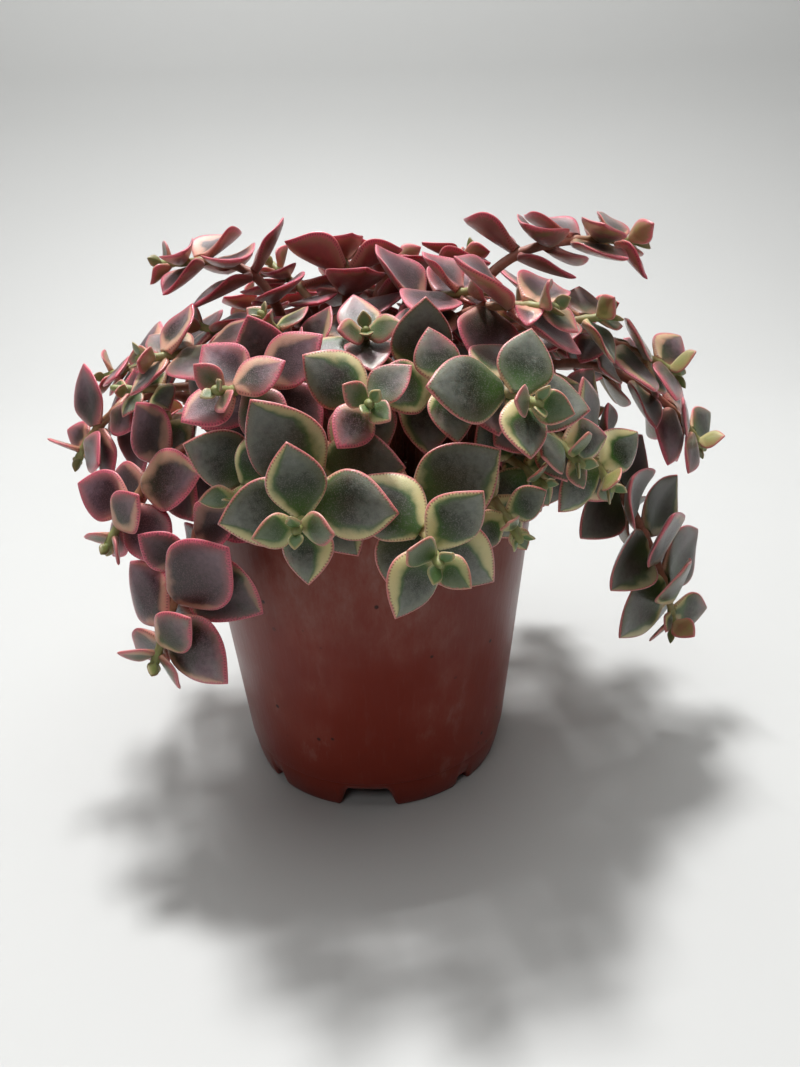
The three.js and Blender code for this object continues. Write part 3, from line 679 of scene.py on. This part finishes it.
def makeLeafMaterial():
    paint = leafPaint
    material, tree, shader = makeMaterial(
        "variegatedLeaf", Specular_IOR_Level=0.5, Sheen_Weight=0.3, Sheen_Roughness=0.3, Coat_Weight=0.2,
        Coat_Roughness=0.28, Subsurface_Weight=0.15, Subsurface_Scale=0.002)
    place = attribute(tree, "leafPlace")
    edge, rimRun, face = parts(tree, attribute(tree, "leafMargin"))
    blush, youth, chance = parts(tree, attribute(tree, "leafTone"))
    share, side, lean = parts(tree, attribute(tree, "leafShare"))

    broad = noise(tree, place, 0.22, 2)
    patchy = noise(tree, place, 0.8, 3, 0.6)
    fine = noise(tree, place, 2.2, 3, 0.65)

    # the middle: green to wine red, under a grey or mauve bloom that grows towards the tip and the edges;
    # where it thins at the base and middle it is painted shade
    wine = smooth(tree, varied(tree, blush, broad, 0.7), 0.2, 0.8)
    middle = blend(tree, wine, paint["greenMiddle"], paint["wineMiddle"])
    bloom = blend(tree, wine, paint["greyBloom"], paint["mauveBloom"])
    # partly real bloom patches, partly painted shade: less bloom near the base and in the middle of the leaf
    bloomAndPaintedShade = times(tree, smooth(tree, patchy, 0.15, 0.8), smooth(tree, share, 0.0, 0.75, 0.2, 1.0),
                    smooth(tree, edge, 5.0, 1.0, 0.45, 1.0))
    middle = blend(tree, bloomAndPaintedShade, middle, bloom)
    nearBase = smooth(tree, share, 0.5, 0.05)
    green = times(tree, nearBase, smooth(tree, blush, 0.9, 0.2, 0.0, 0.8))
    middle = blend(tree, green, middle, paint["baseGreen"])
    # painted highlight: the leaf pales towards its tip as if catching the light
    paintedTipHighlight = blend(tree, wine, paint["greyTipHighlight"], paint["mauveTipHighlight"])
    middle = blend(tree, smooth(tree, varied(tree, share, patchy, 0.35), 0.35, 1.1, 0.0, 0.85), middle, paintedTipHighlight)

    # it pales softly over the last millimetres, and fine grains stand on it
    uneven = varied(tree, edge, fine, 0.5)
    pale = blend(tree, wine, paint["greenEdge"], paint["wineEdge"])
    paling = blendValue(tree, wine, smooth(tree, uneven, 2.4, 0.0, 0.0, 0.65),
                        smooth(tree, uneven, 3.0, 0.0, 0.0, 0.9))
    middle = blend(tree, paling, middle, pale)
    grains = smooth(tree, noise(tree, place, 4.5, 1, 0.4), 0.5, 0.68, 0.0, 0.55)
    middle = blend(tree, grains, middle, blend(tree, wine, paint["grain"], paint["wineGrain"]))

    # cream inside the rim, wider at the base and along one side of some leaves, with fresh green beside it
    leaning = times(tree, smooth(tree, side, -0.1, 0.9), lean)
    width = calc(tree, "MULTIPLY_ADD", leaning, 3.6, 0.16)
    width = calc(tree, "ADD", width, times(tree, nearBase, smooth(tree, chance, 0.2, 0.9, 0.1, 1.8)))
    width = times(tree, width, smooth(tree, broad, 0.25, 0.75, 0.5, 1.5))
    inward = calc(tree, "DIVIDE", uneven, width)
    greenBand = times(tree, smooth(tree, inward, 4.0, 1.2), smooth(tree, wine, 0.8, 0.2, 0.1, 0.75))
    middle = blend(tree, greenBand, middle, paint["baseGreen"])
    margin = smooth(tree, inward, 2.2, 0.3, 0.0, 0.92)
    cream = blend(tree, wine, paint["cream"], paint["flushedCream"])
    upper = blend(tree, margin, middle, cream)

    # young leaves at the tips are plain fresh green with a pale edge
    young = blend(tree, smooth(tree, edge, 0.5, 0.1, 0.0, 0.4), paint["youngGreen"], paint["cream"])
    upper = blend(tree, youth, upper, young)

    # the underside is plainer and warmer
    blushed = smooth(tree, varied(tree, broad, wine, 0.8), 0.25, 0.8)
    under = blend(tree, blushed, paint["underGreen"], paint["underWine"])
    under = blend(tree, smooth(tree, patchy, 0.4, 0.9, 0.0, 0.45), under, middle)
    under = blend(tree, smooth(tree, uneven, 2.8, 0.2, 0.0, 0.65), under, paint["underEdge"])
    under = blend(tree, times(tree, margin, 0.6), under, cream)
    under = blend(tree, youth, under, paint["youngGreen"])
    colour = blend(tree, smooth(tree, face, -0.15, 0.15), under, upper)

    # old leaves inside the plant are darkened and dulled as painted shade
    colour = blend(tree, smooth(tree, youth, 0.0, -1.0, 0.0, 0.6), colour, paint["ageAndPaintedShade"])

    # the rim: a pink line that fades at the base and on young leaves, with painted light making the very edge
    # pale
    rimWidth = calc(tree, "MULTIPLY_ADD", wine, 0.35, 0.25)
    rimWidth = times(tree, rimWidth, smooth(tree, fine, 0.3, 0.7, 0.6, 1.5))
    rim = times(tree, smooth(tree, calc(tree, "DIVIDE", edge, rimWidth), 1.9, 0.4),
                smooth(tree, share, 0.05, 0.4, 0.3, 0.9), smooth(tree, youth, 0.75, 0.2, 0.1, 1.0))
    colour = blend(tree, rim, colour, blend(tree, wine, paint["rim"], paint["wineRim"]))
    # painted light: a pale lit line along the leaf's thin side
    paintedLitEdge = times(tree, smooth(tree, calc(tree, "ABSOLUTE", face), 0.5, 0.1),
                  smooth(tree, fine, 0.35, 0.65, 0.1, 0.6))
    colour = blend(tree, paintedLitEdge, colour, paint["paintedLitEdge"])

    # dark teeth just inside the rim, and pale pores scattered near it
    teeth = calc(tree, "SINE", times(tree, rimRun, 2 * math.pi / paint["toothSpacing"]))
    teeth = times(tree, smooth(tree, teeth, 0.1, 0.7), smooth(tree, edge, 0.12, 0.28),
                  smooth(tree, edge, 0.62, 0.36), smooth(tree, youth, 0.6, 0.1, 0.0, 0.6))
    colour = blend(tree, teeth, colour, paint["tooth"])
    pores = times(tree, dots(tree, place, 1.15, 0.13, 0.05), smooth(tree, edge, 3.4, 0.7, 0.0, 0.5))
    colour = blend(tree, pores, colour, paint["pore"])

    # waxy skin with fine bumps, and a few wet leaves
    wet = smooth(tree, chance, 0.955, 0.965)
    rough = blendValue(tree, wet, smooth(tree, patchy, 0.25, 0.75, 0.3, 0.46), 0.08)
    skin = bump(tree, noise(tree, place, 4.5, 2, 0.6), 0.45, 0.0002)
    skin = bump(tree, teeth, 0.4, 0.00015, skin)
    dress(tree, shader, Base_Color=colour, Roughness=rough, Normal=skin)
    return material


# stems: pinkish brown, greener towards the tip
stemPaint = {
    "young": (0.3, 0.34, 0.12),
    "pink": (0.42, 0.16, 0.11),
    "brown": (0.22, 0.1, 0.06),
}


def makeStemMaterial():
    material, tree, shader = makeMaterial("pinkStem", Subsurface_Weight=0.08, Subsurface_Scale=0.002)
    place = attribute(tree, "leafPlace")
    fromTip = parts(tree, place)[0]
    streaks = noise(tree, place, 0.8, 3, 0.6)
    colour = blend(tree, smooth(tree, fromTip, 2, 22), stemPaint["young"], stemPaint["pink"])
    # the stem browns with age towards its root
    ageAndPaintedShade = varied(tree, times(tree, fromTip, 0.02), streaks)
    colour = blend(tree, smooth(tree, ageAndPaintedShade, 0.5, 1.3), colour, stemPaint["brown"])
    colour = blend(tree, smooth(tree, streaks, 0.3, 0.75, 0, 0.4), colour, stemPaint["brown"])
    rough = smooth(tree, streaks, 0.2, 0.8, 0.42, 0.6)
    skin = bump(tree, noise(tree, place, 2.5, 3, 0.6), 0.3, 0.0002)
    dress(tree, shader, Base_Color=colour, Roughness=rough, Normal=skin)
    return material


# how a leaf's fine shape differs from its plain section
leafFine = {
    "fullness": 2.4,
    "shoulder": 0.6,
    "crease": 0.016,
    "creaseWidth": 0.25,
    "ripple": 0.012,
    "pointing": 0.45,
    "underFullness": 1.15,
    "youngReach": 3.6,
    # from which pair old leaves start to darken as painted shade, and over how many pairs
    "shadeFromLevel": 2,
    "shadeOverLevels": 4,
    "grids": ((5, 9, 6), (10, 15, 8), (99, 24, 12)),  # for leaves below a length: rows and columns
}


# faces between rings of points that follow one another
def tubeFaces(rings, around, flipped=False):
    faces = []
    for r in range(rings - 1):
        for k in range(around):
            a, b = r * around + k, r * around + (k + 1) % around
            faces.append((a, b, b + around, a + around) if flipped else (a, a + around, b + around, b))
    return faces


# faces from a ring of points to one point
def fanFaces(first, around, centre, flipped=False):
    order = -1 if flipped else 1
    return [(first + k, centre, first + (k + 1) % around)[::order] for k in range(around)]


# grid over a leaf's two faces: t along it, w across it, s 1 on top and -1 below
def leafGrid(rows, columns):
    i = np.arange(rows) / rows
    t = 0.6 * i + 0.4 * 0.5 * (1 - np.cos(np.pi * i))
    w = np.sin(0.5 * np.pi * (2 * np.arange(columns + 1) / columns - 1))
    ringW = np.concatenate([w, w[-2:0:-1]])
    ringS = np.concatenate([[0], np.ones(columns - 1), [0], -np.ones(columns - 1)])
    ring = len(ringW)
    grid = {
        "t": np.append(np.repeat(t, ring), [1, 0]),
        "w": np.append(np.tile(ringW, rows), [0, 0]),
        "s": np.append(np.tile(ringS, rows), [0, 0]),
    }
    grid["faces"] = [
        *tubeFaces(rows, ring),
        *fanFaces((rows - 1) * ring, ring, rows * ring),
        *fanFaces(0, ring, rows * ring + 1, True),
    ]
    # distance to the margin and place along it, for a leaf of length 1
    run = np.linspace(0, 1, 241)
    half = 0.5 * leafForm["widthRatio"] * fineOutline(run)
    x, y = grid["t"], np.abs(0.5 * leafForm["widthRatio"] * fineOutline(grid["t"]) * grid["w"])
    far = np.hypot(x[:, None] - run, y[:, None] - half)
    nearest = far.argmin(axis=1)
    lengths = np.concatenate([[0], np.cumsum(np.hypot(np.diff(run), np.diff(half)))])
    grid["edge"] = far.min(axis=1)
    grid["run"] = lengths[nearest]
    return grid


# a little more pointed than the plain outline
def fineOutline(t):
    x = np.clip((t - leafForm["widestAt"]) / (1 - leafForm["widestAt"]), 0, 1)
    return leafOutline(t) - leafFine["pointing"] * x * x * (1 - x)


def fineLeaf(leaf, grid, phase):
    t, w, s = grid["t"], grid["w"], grid["s"]
    length = leaf["length"]
    y = leaf["halfWidth"] * fineOutline(t) * w
    full = (1 - np.abs(w) ** leafFine["fullness"]) ** leafFine["shoulder"]
    ending = np.sqrt(np.clip((1 - t) / 0.1, 0, 1))
    h = halfThickness(leaf, t) * full * ending * np.where(s < 0, leafFine["underFullness"], 1)
    crease = leafFine["crease"] * length * np.exp(-((w / leafFine["creaseWidth"]) ** 2)) * np.sin(np.pi * t)
    ripple = leafFine["ripple"] * length * np.sin(9 * t + phase + 2 * np.sign(w)) * np.abs(w) ** 3
    rise = leafRise(leaf, t, y) - crease + ripple * np.sin(np.pi * t)
    heights = rise + s * h
    shape = ((leaf["along"], length * t), (leaf["side"], y), (leaf["normal"], heights))
    return leaf["base"] + sum(np.multiply.outer(part, axis) for axis, part in shape)


# stem tube from its tip to its root, a little thicker where leaves grow
stemFine = {"sides": 14, "step": 0.8, "nodeSwell": 0.3, "nodeReach": 0.9}


def stemTube(route, nodes):
    distances = np.arange(0.15, route["length"], stemFine["step"])
    sides = stemFine["sides"]
    rings = []
    for d in distances:
        point, _, side, over = frameAt(route, d)
        swell = sum(math.exp(-(((d - n) / stemFine["nodeReach"]) ** 2)) for n in nodes)
        radius = stemRadiusAt(d) * (1 + stemFine["nodeSwell"] * swell) * min(1, math.sqrt((d + 0.1) / 0.8))
        turn = 2 * np.pi * np.arange(sides) / sides
        rings.append(point + radius * (np.outer(np.cos(turn), over) + np.outer(np.sin(turn), side)))
    points = np.vstack([*rings, pointAt(route, 0.0)[None], pointAt(route, route["length"])[None]])
    faces = [
        *tubeFaces(len(distances), sides, True),
        *fanFaces(0, sides, len(points) - 2),
        *fanFaces((len(distances) - 1) * sides, sides, len(points) - 1, True),
    ]
    fromTip = np.append(np.repeat(distances, sides), [0, route["length"]])
    around = np.append(np.tile(3 * np.sin(2 * np.pi * np.arange(sides) / sides), len(distances)), [0, 0])
    return points, faces, fromTip, around


# what the skin's material reads at a leaf's points
def leafValues(leaf, grid, tone, chance, leaning):
    t, w, length = grid["t"], grid["w"], leaf["length"]
    every = np.ones(len(t))
    seed = 17.3 * chance + 40 * leaf["stem"] + 5 * leaf["level"]
    oppositeSide = np.where(w < 0, 40, 0)
    lean = max(0, 2.2 * abs(leaning - 0.5) - 0.4)
    # 1 at the tip, 0 for a grown leaf, -1 for the oldest, whose painted shade is darkest
    youth = math.exp(-((leaf["distance"] / leafFine["youngReach"]) ** 2))
    youth -= min(max(leaf["level"] - leafFine["shadeFromLevel"], 0) / leafFine["shadeOverLevels"], 1)
    return {
        "leafPlace": (leaf["halfWidth"] * fineOutline(t) * w, t * length, seed * every),
        "leafMargin": (grid["edge"] * length, grid["run"] * length + oppositeSide, grid["s"]),
        "leafShare": (t, w * (1 if leaning < 0.5 else -1), lean * every),
        "leafTone": (tone * every, youth * every, chance * every),
    }


leafMaterial = makeLeafMaterial()
stemMaterial = makeStemMaterial()
grids = [(most, leafGrid(rows, columns)) for most, rows, columns in leafFine["grids"]]
for index, (stem, route) in enumerate(zip(stems, routes)):
    random = makeRandom(7000 + index)
    blush = stem[11]
    own = [leaf for leaf in leaves if leaf["stem"] == index]
    tube, faces, fromTip, around = stemTube(route, sorted({leaf["distance"] for leaf in own}))
    faceMaterial = [1] * len(faces)
    points, count = [tube], len(tube)
    stacks = {
        "leafPlace": [np.column_stack([fromTip, around, np.full(count, 3.7 * index)])],
        "leafMargin": [np.ones((count, 3))],
        "leafShare": [np.zeros((count, 3))],
        "leafTone": [np.tile([blush, 0, 0.5], (count, 1))],
    }
    for leaf in own:
        grid = next(grid for most, grid in grids if leaf["length"] < most)
        phase, chance, tint, leaning = (next(random) for _ in range(4))
        points.append(fineLeaf(leaf, grid, 6.28 * phase))
        faces += [tuple(corner + count for corner in face) for face in grid["faces"]]
        faceMaterial += [0] * len(grid["faces"])
        count += len(grid["t"])
        tone = min(1, max(0, blush + 0.4 * (tint - 0.5)))
        for key, columns in leafValues(leaf, grid, tone, chance, leaning).items():
            stacks[key].append(np.column_stack(columns))
    values = {key: np.vstack(rows) for key, rows in stacks.items()}
    materials = [leafMaterial, stemMaterial]
    piece = makePiece(stem[0] + "_leaves", np.vstack(points), faces, materials, faceMaterial, values)
    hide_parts(stem[0])
print("leafy stems made")


# the pot's fine shape: rounded edges, notches with round corners, drain holes
potFine = {
    "around": 360,
    "lipRound": 0.55,
    "footBulge": 1.7,
    "stepRound": 0.25,
    "notches": ((-96, 4, 5.8, 15, 9.5), (-51, 4, 2.6, 5, 3)),  # azimuth, count, height, widths
    "notchEase": 1.1,
    "drainHoles": 4,
    "drainRadius": 3,
    "drainRing": 22,
    "drainAzimuth": -96,
    "drainSides": 32,
}


# height of the foot's lower edge at an azimuth: zero, or up in a notch
def footEdge(azimuth):
    edge = np.zeros_like(azimuth)
    for centre, count, height, bottomWidth, topWidth in potFine["notches"]:
        pitch = 360 / count
        away = np.abs((azimuth - centre + pitch / 2) % pitch - pitch / 2)
        run = np.radians(away) * potForm["footRadius"]
        share = np.clip((bottomWidth / 2 - run) / ((bottomWidth - topWidth) / 2), 0, 1)
        edge = np.maximum(edge, height * np.sin(0.5 * np.pi * share) ** potFine["notchEase"])
    return edge


# profile points round a corner of the wall
def rounded(radius, height, fromAngle, toAngle, size, steps=5):
    angles = np.radians(np.linspace(fromAngle, toAngle, steps))
    return [(radius + size * math.cos(a), height + size * math.sin(a)) for a in angles]


potPaint = {
    "plastic": (0.19, 0.017, 0.006),
    "dull": (0.25, 0.032, 0.015),
    "dust": (0.42, 0.27, 0.23),
    "speck": (0.04, 0.01, 0.007),
}


# places squeezed along the height, so that marks run up and down
def stretched(tree, place, tall):
    return addNode(tree, "Mapping", {"Vector": place, "Scale": (1, 1, tall)})


# thin satin plastic with a dull haze, water marks, specks and scratches
def makePotMaterial():
    material, tree, shader = makeMaterial(
        "terracottaPlastic", Specular_IOR_Level=0.22, Coat_Weight=0.04, Coat_Roughness=0.2)
    place = addNode(tree, "TexCoord", output=3)
    height = parts(tree, place)[2]
    streaks = noise(tree, stretched(tree, place, 0.08), 900, 4, 0.6)
    broad = noise(tree, place, 28, 3, 0.55)
    marks = noise(tree, stretched(tree, place, 0.45), 160, 5, 0.7)
    colour = blend(tree, smooth(tree, broad, 0.35, 0.75, 0.0, 0.6), potPaint["plastic"], potPaint["dull"])
    colour = blend(tree, smooth(tree, streaks, 0.55, 0.8, 0.0, 0.06), colour, potPaint["dust"])

    # a dried film of dirty water, thicker towards the rim, its runs, and specks
    film = smooth(tree, calc(tree, "MULTIPLY_ADD", height, 9.0, times(tree, broad, 1.6)), 1.0, 1.65)
    film = times(tree, film, smooth(tree, marks, 0.35, 0.65, 0.25, 1.0))
    stains = times(tree, smooth(tree, marks, 0.55, 0.7), smooth(tree, broad, 0.45, 0.65, 0.03, 0.2))
    colour = blend(tree, times(tree, film, 0.3), colour, potPaint["dust"])
    colour = blend(tree, stains, colour, potPaint["dust"])
    kept = smooth(tree, noise(tree, place, 60, 1), 0.48, 0.56)
    specks = times(tree, dots(tree, place, 190, 0.13, 0.07), kept)
    colour = blend(tree, specks, colour, potPaint["speck"])
    rough = calc(tree, "MULTIPLY_ADD", film, 0.2, smooth(tree, broad, 0.3, 0.8, 0.28, 0.4))
    scratches = noise(tree, stretched(tree, place, 0.05), 1400, 2, 0.5)
    skin = bump(tree, streaks, 0.1, 0.0004)
    skin = bump(tree, smooth(tree, scratches, 0.66, 0.74), 0.12, 0.0002, skin)
    skin = bump(tree, marks, 0.15, 0.0006, skin)
    skin = bump(tree, broad, 0.3, 0.0015, skin)
    dress(tree, shader, Base_Color=colour, Roughness=rough, Normal=skin)
    return material


def makePot():
    form, fine = potForm, potFine
    lip = fine["lipRound"]
    lipLow = form["height"] - form["rimHeight"]
    innerTop = form["wallTopRadius"] - form["wall"]
    innerBottom = form["footTopRadius"] - form["wall"]
    floorTop = form["floorLift"] + form["floorThickness"]
    ringInner = form["footRadius"] - form["footRing"]
    # rings go from under the floor, round the foot and up outside, then down inside to the floor
    lower = [(ringInner, 0.5), *rounded(ringInner + 0.4, 0.4, 180, 270, 0.4),
             *rounded(form["footRadius"] - 0.4, 0.4, 270, 360, 0.4)]
    share = np.linspace(0.08, 0.97, 12)
    bulge = 1 - (1 - share) ** fine["footBulge"]
    footTop, step = form["footHeight"], fine["stepRound"]
    low, high = form["wallBottomRadius"], form["wallTopRadius"]
    foot = [(form["footRadius"] + (form["footTopRadius"] - form["footRadius"]) * b, footTop * s)
            for s, b in zip(share, bulge)]
    wallRows = [(form["footTopRadius"], footTop - 0.1), *rounded(low - step, footTop + step, -80, 0, step, 4)]
    wallRows += [(low + s * (high - low), footTop + s * (lipLow - footTop))
                 for s in np.linspace(0.03, 0.99, 26)]
    wallRows.append((high, lipLow))
    wallRows += rounded(form["rimRadius"] - 0.3, lipLow + 0.3, -90, 0, 0.3, 4)
    wallRows += rounded(form["rimRadius"] - lip, form["height"] - lip, 0, 90, lip)
    wallRows += rounded(innerTop + lip, form["height"] - lip, 90, 180, lip)
    inside, rise = innerTop - innerBottom, form["height"] - lip - floorTop
    wallRows += [(innerTop - s * inside, form["height"] - lip - s * rise) for s in np.linspace(0.04, 1, 20)]
    turnDegrees = np.arange(fine["around"]) * 360 / fine["around"]
    edge = footEdge(turnDegrees)
    cos, sin = np.cos(np.radians(turnDegrees)), np.sin(np.radians(turnDegrees))

    # the foot's rows are squeezed upwards where a notch is
    def ringOf(radius, height, squeezed):
        top = form["floorLift"] if radius <= ringInner + 0.01 else form["footHeight"]
        z = edge + height * (top - edge) / top if squeezed else np.full_like(edge, height)
        return np.column_stack([radius * cos, radius * sin, z])

    profile = [(ringInner, form["floorLift"], False)]
    profile += [(ringInner, h, True) for h in (4.6, 3.0, 1.6)]
    profile += [(r, h, True) for r, h in lower]
    profile += [(r, h, True) for r, h in foot]
    profile += [(r, h, False) for r, h in wallRows]
    points = [ringOf(*row) for row in profile]
    around = fine["around"]
    faces = tubeFaces(len(profile), around, True)
    piece = makePiece("nursery_pot", np.vstack(points), faces, [makePotMaterial()])
    closeFloor(piece, form["floorLift"], floorTop, len(profile), around)
    return piece


# the floor between the inner and the outer ring of points, with its drain holes
def closeFloor(piece, low, high, rowCount, around):
    work = bmesh.new()
    work.from_mesh(piece.data)
    work.verts.ensure_lookup_table()
    rims = {"low": [work.verts[k] for k in range(around)],
            "high": [work.verts[(rowCount - 1) * around + k] for k in range(around)]}
    holes = {"low": [], "high": []}
    sides = potFine["drainSides"]
    for i in range(potFine["drainHoles"]):
        centre = polar(potFine["drainAzimuth"] + 360 * i / potFine["drainHoles"], potFine["drainRing"], 0)
        loops = {}
        for name, height in (("low", low), ("high", high)):
            ring = [centre + polar(360 * k / sides, potFine["drainRadius"], height) for k in range(sides)]
            loops[name] = [work.verts.new(toFrame(point)) for point in ring]
            holes[name].append(loops[name])
        for k in range(sides):
            n = (k + 1) % sides
            work.faces.new((loops["low"][k], loops["high"][k], loops["high"][n], loops["low"][n]))
    for name in ("low", "high"):
        edges = []
        for loop in [rims[name], *holes[name]]:
            for k in range(len(loop)):
                pair = (loop[k], loop[(k + 1) % len(loop)])
                edges.append(work.edges.get(pair) or work.edges.new(pair))
        bmesh.ops.triangle_fill(work, use_beauty=True, edges=edges)
    bmesh.ops.recalc_face_normals(work, faces=work.faces)
    work.to_mesh(piece.data)
    work.free()
    piece.data.shade_smooth()


pot = makePot()
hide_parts("pot")
print("pot made")


# the potting mix: an uneven top with crumbs of bark and white grit on it
mixFine = {
    "rings": 46,
    "around": 180,
    "unevenness": 0.9,
    "crumbs": 620,
    "crumbReach": 41.2,
    "crumbSize": (0.5, 1.5),
    "gritShare": 0.16,
    "dark": (0.018, 0.012, 0.008),
    "brown": (0.07, 0.04, 0.024),
    "grit": (0.62, 0.58, 0.5),
}


def mixHeight(x, y):
    waves = np.sin(x * 0.31 + 1.3) * np.cos(y * 0.27) + 0.6 * np.sin(x * 0.12 - y * 0.19)
    fine = np.sin(x * 1.9 + 2 * np.sin(y * 0.7)) * np.sin(y * 1.7 + 2 * np.sin(x * 0.9))
    finer = np.sin(x * 4.3 + 3 * np.sin(y * 1.3)) * np.sin(y * 4.9 + 3 * np.sin(x * 1.1))
    return soilTop + 0.66 * waves + mixFine["unevenness"] * (0.3 * fine + 0.15 * finer)


def makeMixMaterial():
    material, tree, shader = makeMaterial("pottingMix", Roughness=0.95)
    place = addNode(tree, "TexCoord", output=3)
    bits = noise(tree, place, 900, 5, 0.75)
    colour = blend(tree, smooth(tree, bits, 0.35, 0.7), mixFine["dark"], mixFine["brown"])
    colour = blend(tree, times(tree, dots(tree, place, 420, 0.2, 0.12), 0.6), colour, mixFine["grit"])
    dress(tree, shader, Base_Color=colour, Normal=bump(tree, bits, 0.8, 0.0012))
    return material


def makeCrumbMaterial():
    material, tree, shader = makeMaterial("barkAndGrit", Roughness=0.9)
    white, tint = parts(tree, attribute(tree, "crumbTone"))[:2]
    place = addNode(tree, "TexCoord", output=3)
    bits = noise(tree, place, 1500, 4, 0.7)
    bark = blend(tree, smooth(tree, varied(tree, tint, bits), 0.1, 0.9), mixFine["dark"], mixFine["brown"])
    colour = blend(tree, white, bark, mixFine["grit"])
    dress(tree, shader, Base_Color=colour, Normal=bump(tree, bits, 0.6, 0.0005))
    return material


def makeMix():
    floorTop = potForm["floorLift"] + potForm["floorThickness"]
    bottom = floorTop + soilForm["gap"]
    inner = {}
    for name, height in (("top", soilTop), ("bottom", bottom)):
        share = (height - floorTop) / (potForm["height"] - floorTop)
        low = potForm["footTopRadius"] - potForm["wall"]
        inner[name] = low + share * (potForm["wallTopRadius"] - potForm["wall"] - low) - soilForm["gap"]
    around = mixFine["around"]
    turn = 2 * np.pi * np.arange(around) / around
    rows = [(inner["top"] * i / mixFine["rings"], None) for i in range(1, mixFine["rings"])]
    rows += [(inner["top"], soilTop), (inner["bottom"], bottom)]
    rings = []
    for radius, height in rows:
        x, y = radius * np.cos(turn), radius * np.sin(turn)
        z = mixHeight(x, y) if height is None else np.full_like(x, height)
        rings.append(np.column_stack([x, y, z]))
    points = np.vstack([*rings, [[0, 0, mixHeight(0, 0)]], [[0, 0, bottom]]])
    faces = [
        *fanFaces(0, around, len(points) - 2, True),
        *tubeFaces(len(rows), around),
        *fanFaces((len(rows) - 1) * around, around, len(points) - 1),
    ]
    return makePiece("potting_mix", points, faces, [makeMixMaterial()])


# small lumps scattered on the mix, each a ball pulled out of round
def makeCrumbs():
    ball = bmesh.new()
    bmesh.ops.create_icosphere(ball, subdivisions=1, radius=1)
    corners = np.array([v.co for v in ball.verts])
    triangles = [tuple(v.index for v in f.verts) for f in ball.faces]
    ball.free()
    random = makeRandom(421)
    points, faces, tones = [], [], []
    for _ in range(mixFine["crumbs"]):
        radius = mixFine["crumbReach"] * math.sqrt(next(random))
        place = polar(360 * next(random), radius, 0)
        white = next(random) < mixFine["gritShare"]
        low, high = mixFine["crumbSize"]
        size = low + (high - low) * next(random) ** 2
        stretch = np.array([0.7 + 0.9 * next(random), 0.7 + 0.6 * next(random), 0.55 + 0.4 * next(random)])
        if white:
            stretch = 0.8 + 0.25 * (stretch - 0.8)
        turn = Matrix.Rotation(6.28 * next(random), 3, "Z") @ Matrix.Rotation(next(random) - 0.5, 3, "X")
        dents = 1 + 0.18 * np.sin(corners @ np.array([5.1, 3.7, 4.3]) + 40 * next(random))
        shape = (corners * dents[:, None] * stretch * size) @ np.array(turn).T
        place[2] = mixHeight(place[0], place[1]) + 0.25 * size
        faces += [tuple(c + len(points) * len(corners) for c in t) for t in triangles]
        points.append(shape + place)
        tones.append(np.tile([1.0 if white else 0.0, next(random), 0], (len(corners), 1)))
    values = {"crumbTone": np.vstack(tones)}
    return makePiece("mix_crumbs", np.vstack(points), faces, [makeCrumbMaterial()], values=values)


for piece in (makeMix(), makeCrumbs()):
    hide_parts("soil")
print("potting mix made")


# plain pale floor that curves up behind, and soft lights
stageSetup = {
    "floorColour": (0.51, 0.515, 0.507),
    "floorPatches": (0.55, 0.555, 0.547),
    "wallAt": 0.62,
    "curve": 0.25,
    "width": 3.0,
    "front": -1.6,
    "height": 1.6,
    "sky": (1.0, 0.97, 0.93),
    "skyStrength": 0.035,
}

# each light: place and target in metres from the pot's axis, size, watts, colour
lights = {
    "overhead": ((-0.07, 0.32, 1.25), (0, 0, 0.06), (0.17, 0.15), 17.5, (1.0, 1.0, 1.0)),
    "ceiling": ((0, 0.0, 1.1), (0, 0, 0), (1.2, 0.8), 5.8, (1.0, 0.995, 0.985)),
    "leftWindow": ((-0.85, 0.1, 0.5), (0, 0, 0.07), (0.3, 0.9), 0.08, (0.97, 0.99, 1.0)),
    "rightWindow": ((0.85, 0.2, 0.5), (0, 0, 0.07), (0.3, 0.9), 0.1, (0.97, 0.99, 1.0)),
    "frontFill": ((-0.3, -0.9, 1.1), (0, 0, 0.08), (0.5, 0.4), 2.0, (1.0, 1.0, 1.0)),
}


def makeStage():
    setup = stageSetup
    turns = np.radians(np.linspace(0, 90, 13))
    curve, far = setup["curve"], setup["wallAt"]
    path = [(setup["front"], 0.0)]
    path += [(far - curve + curve * math.sin(a), curve - curve * math.cos(a)) for a in turns]
    path.append((far, setup["height"]))
    half = setup["width"] / 2
    points = [(x, y, z) for y, z in path for x in (-half, half)]
    faces = [(2 * i, 2 * i + 1, 2 * i + 3, 2 * i + 2) for i in range(len(path) - 1)]
    mesh = bpy.data.meshes.new("pale_floor")
    mesh.from_pydata(points, [], faces)
    mesh.shade_smooth()
    floor = linkObject("pale_floor", mesh)
    material, tree, shader = makeMaterial("palePaint", Roughness=0.6)
    place = addNode(tree, "TexCoord", output=3)
    colour = blend(tree, noise(tree, place, 3, 3), setup["floorColour"], setup["floorPatches"])
    dress(tree, shader, Base_Color=colour)
    mesh.materials.append(material)


def makeLights():
    for name, (place, target, size, watts, colour) in lights.items():
        data = bpy.data.lights.new(name, "AREA")
        data.shape = "RECTANGLE"
        data.size, data.size_y = size
        data.energy = watts
        data.color = colour
        lamp = linkObject(name, data)
        start = Vector(place) + Vector(potAxis)
        aim = Vector(target) + Vector(potAxis) - start
        lamp.location = start
        lamp.rotation_euler = aim.to_track_quat("-Z", "Y").to_euler()
    world = bpy.data.worlds.new("paleSky")
    world.use_nodes = True
    sky = world.node_tree.nodes["Background"]
    sky.inputs["Color"].default_value = (*stageSetup["sky"], 1)
    sky.inputs["Strength"].default_value = stageSetup["skyStrength"]
    bpy.context.scene.world = world
    bpy.context.scene.view_settings.view_transform = "Standard"


makeStage()
makeLights()
print("floor and lights set")
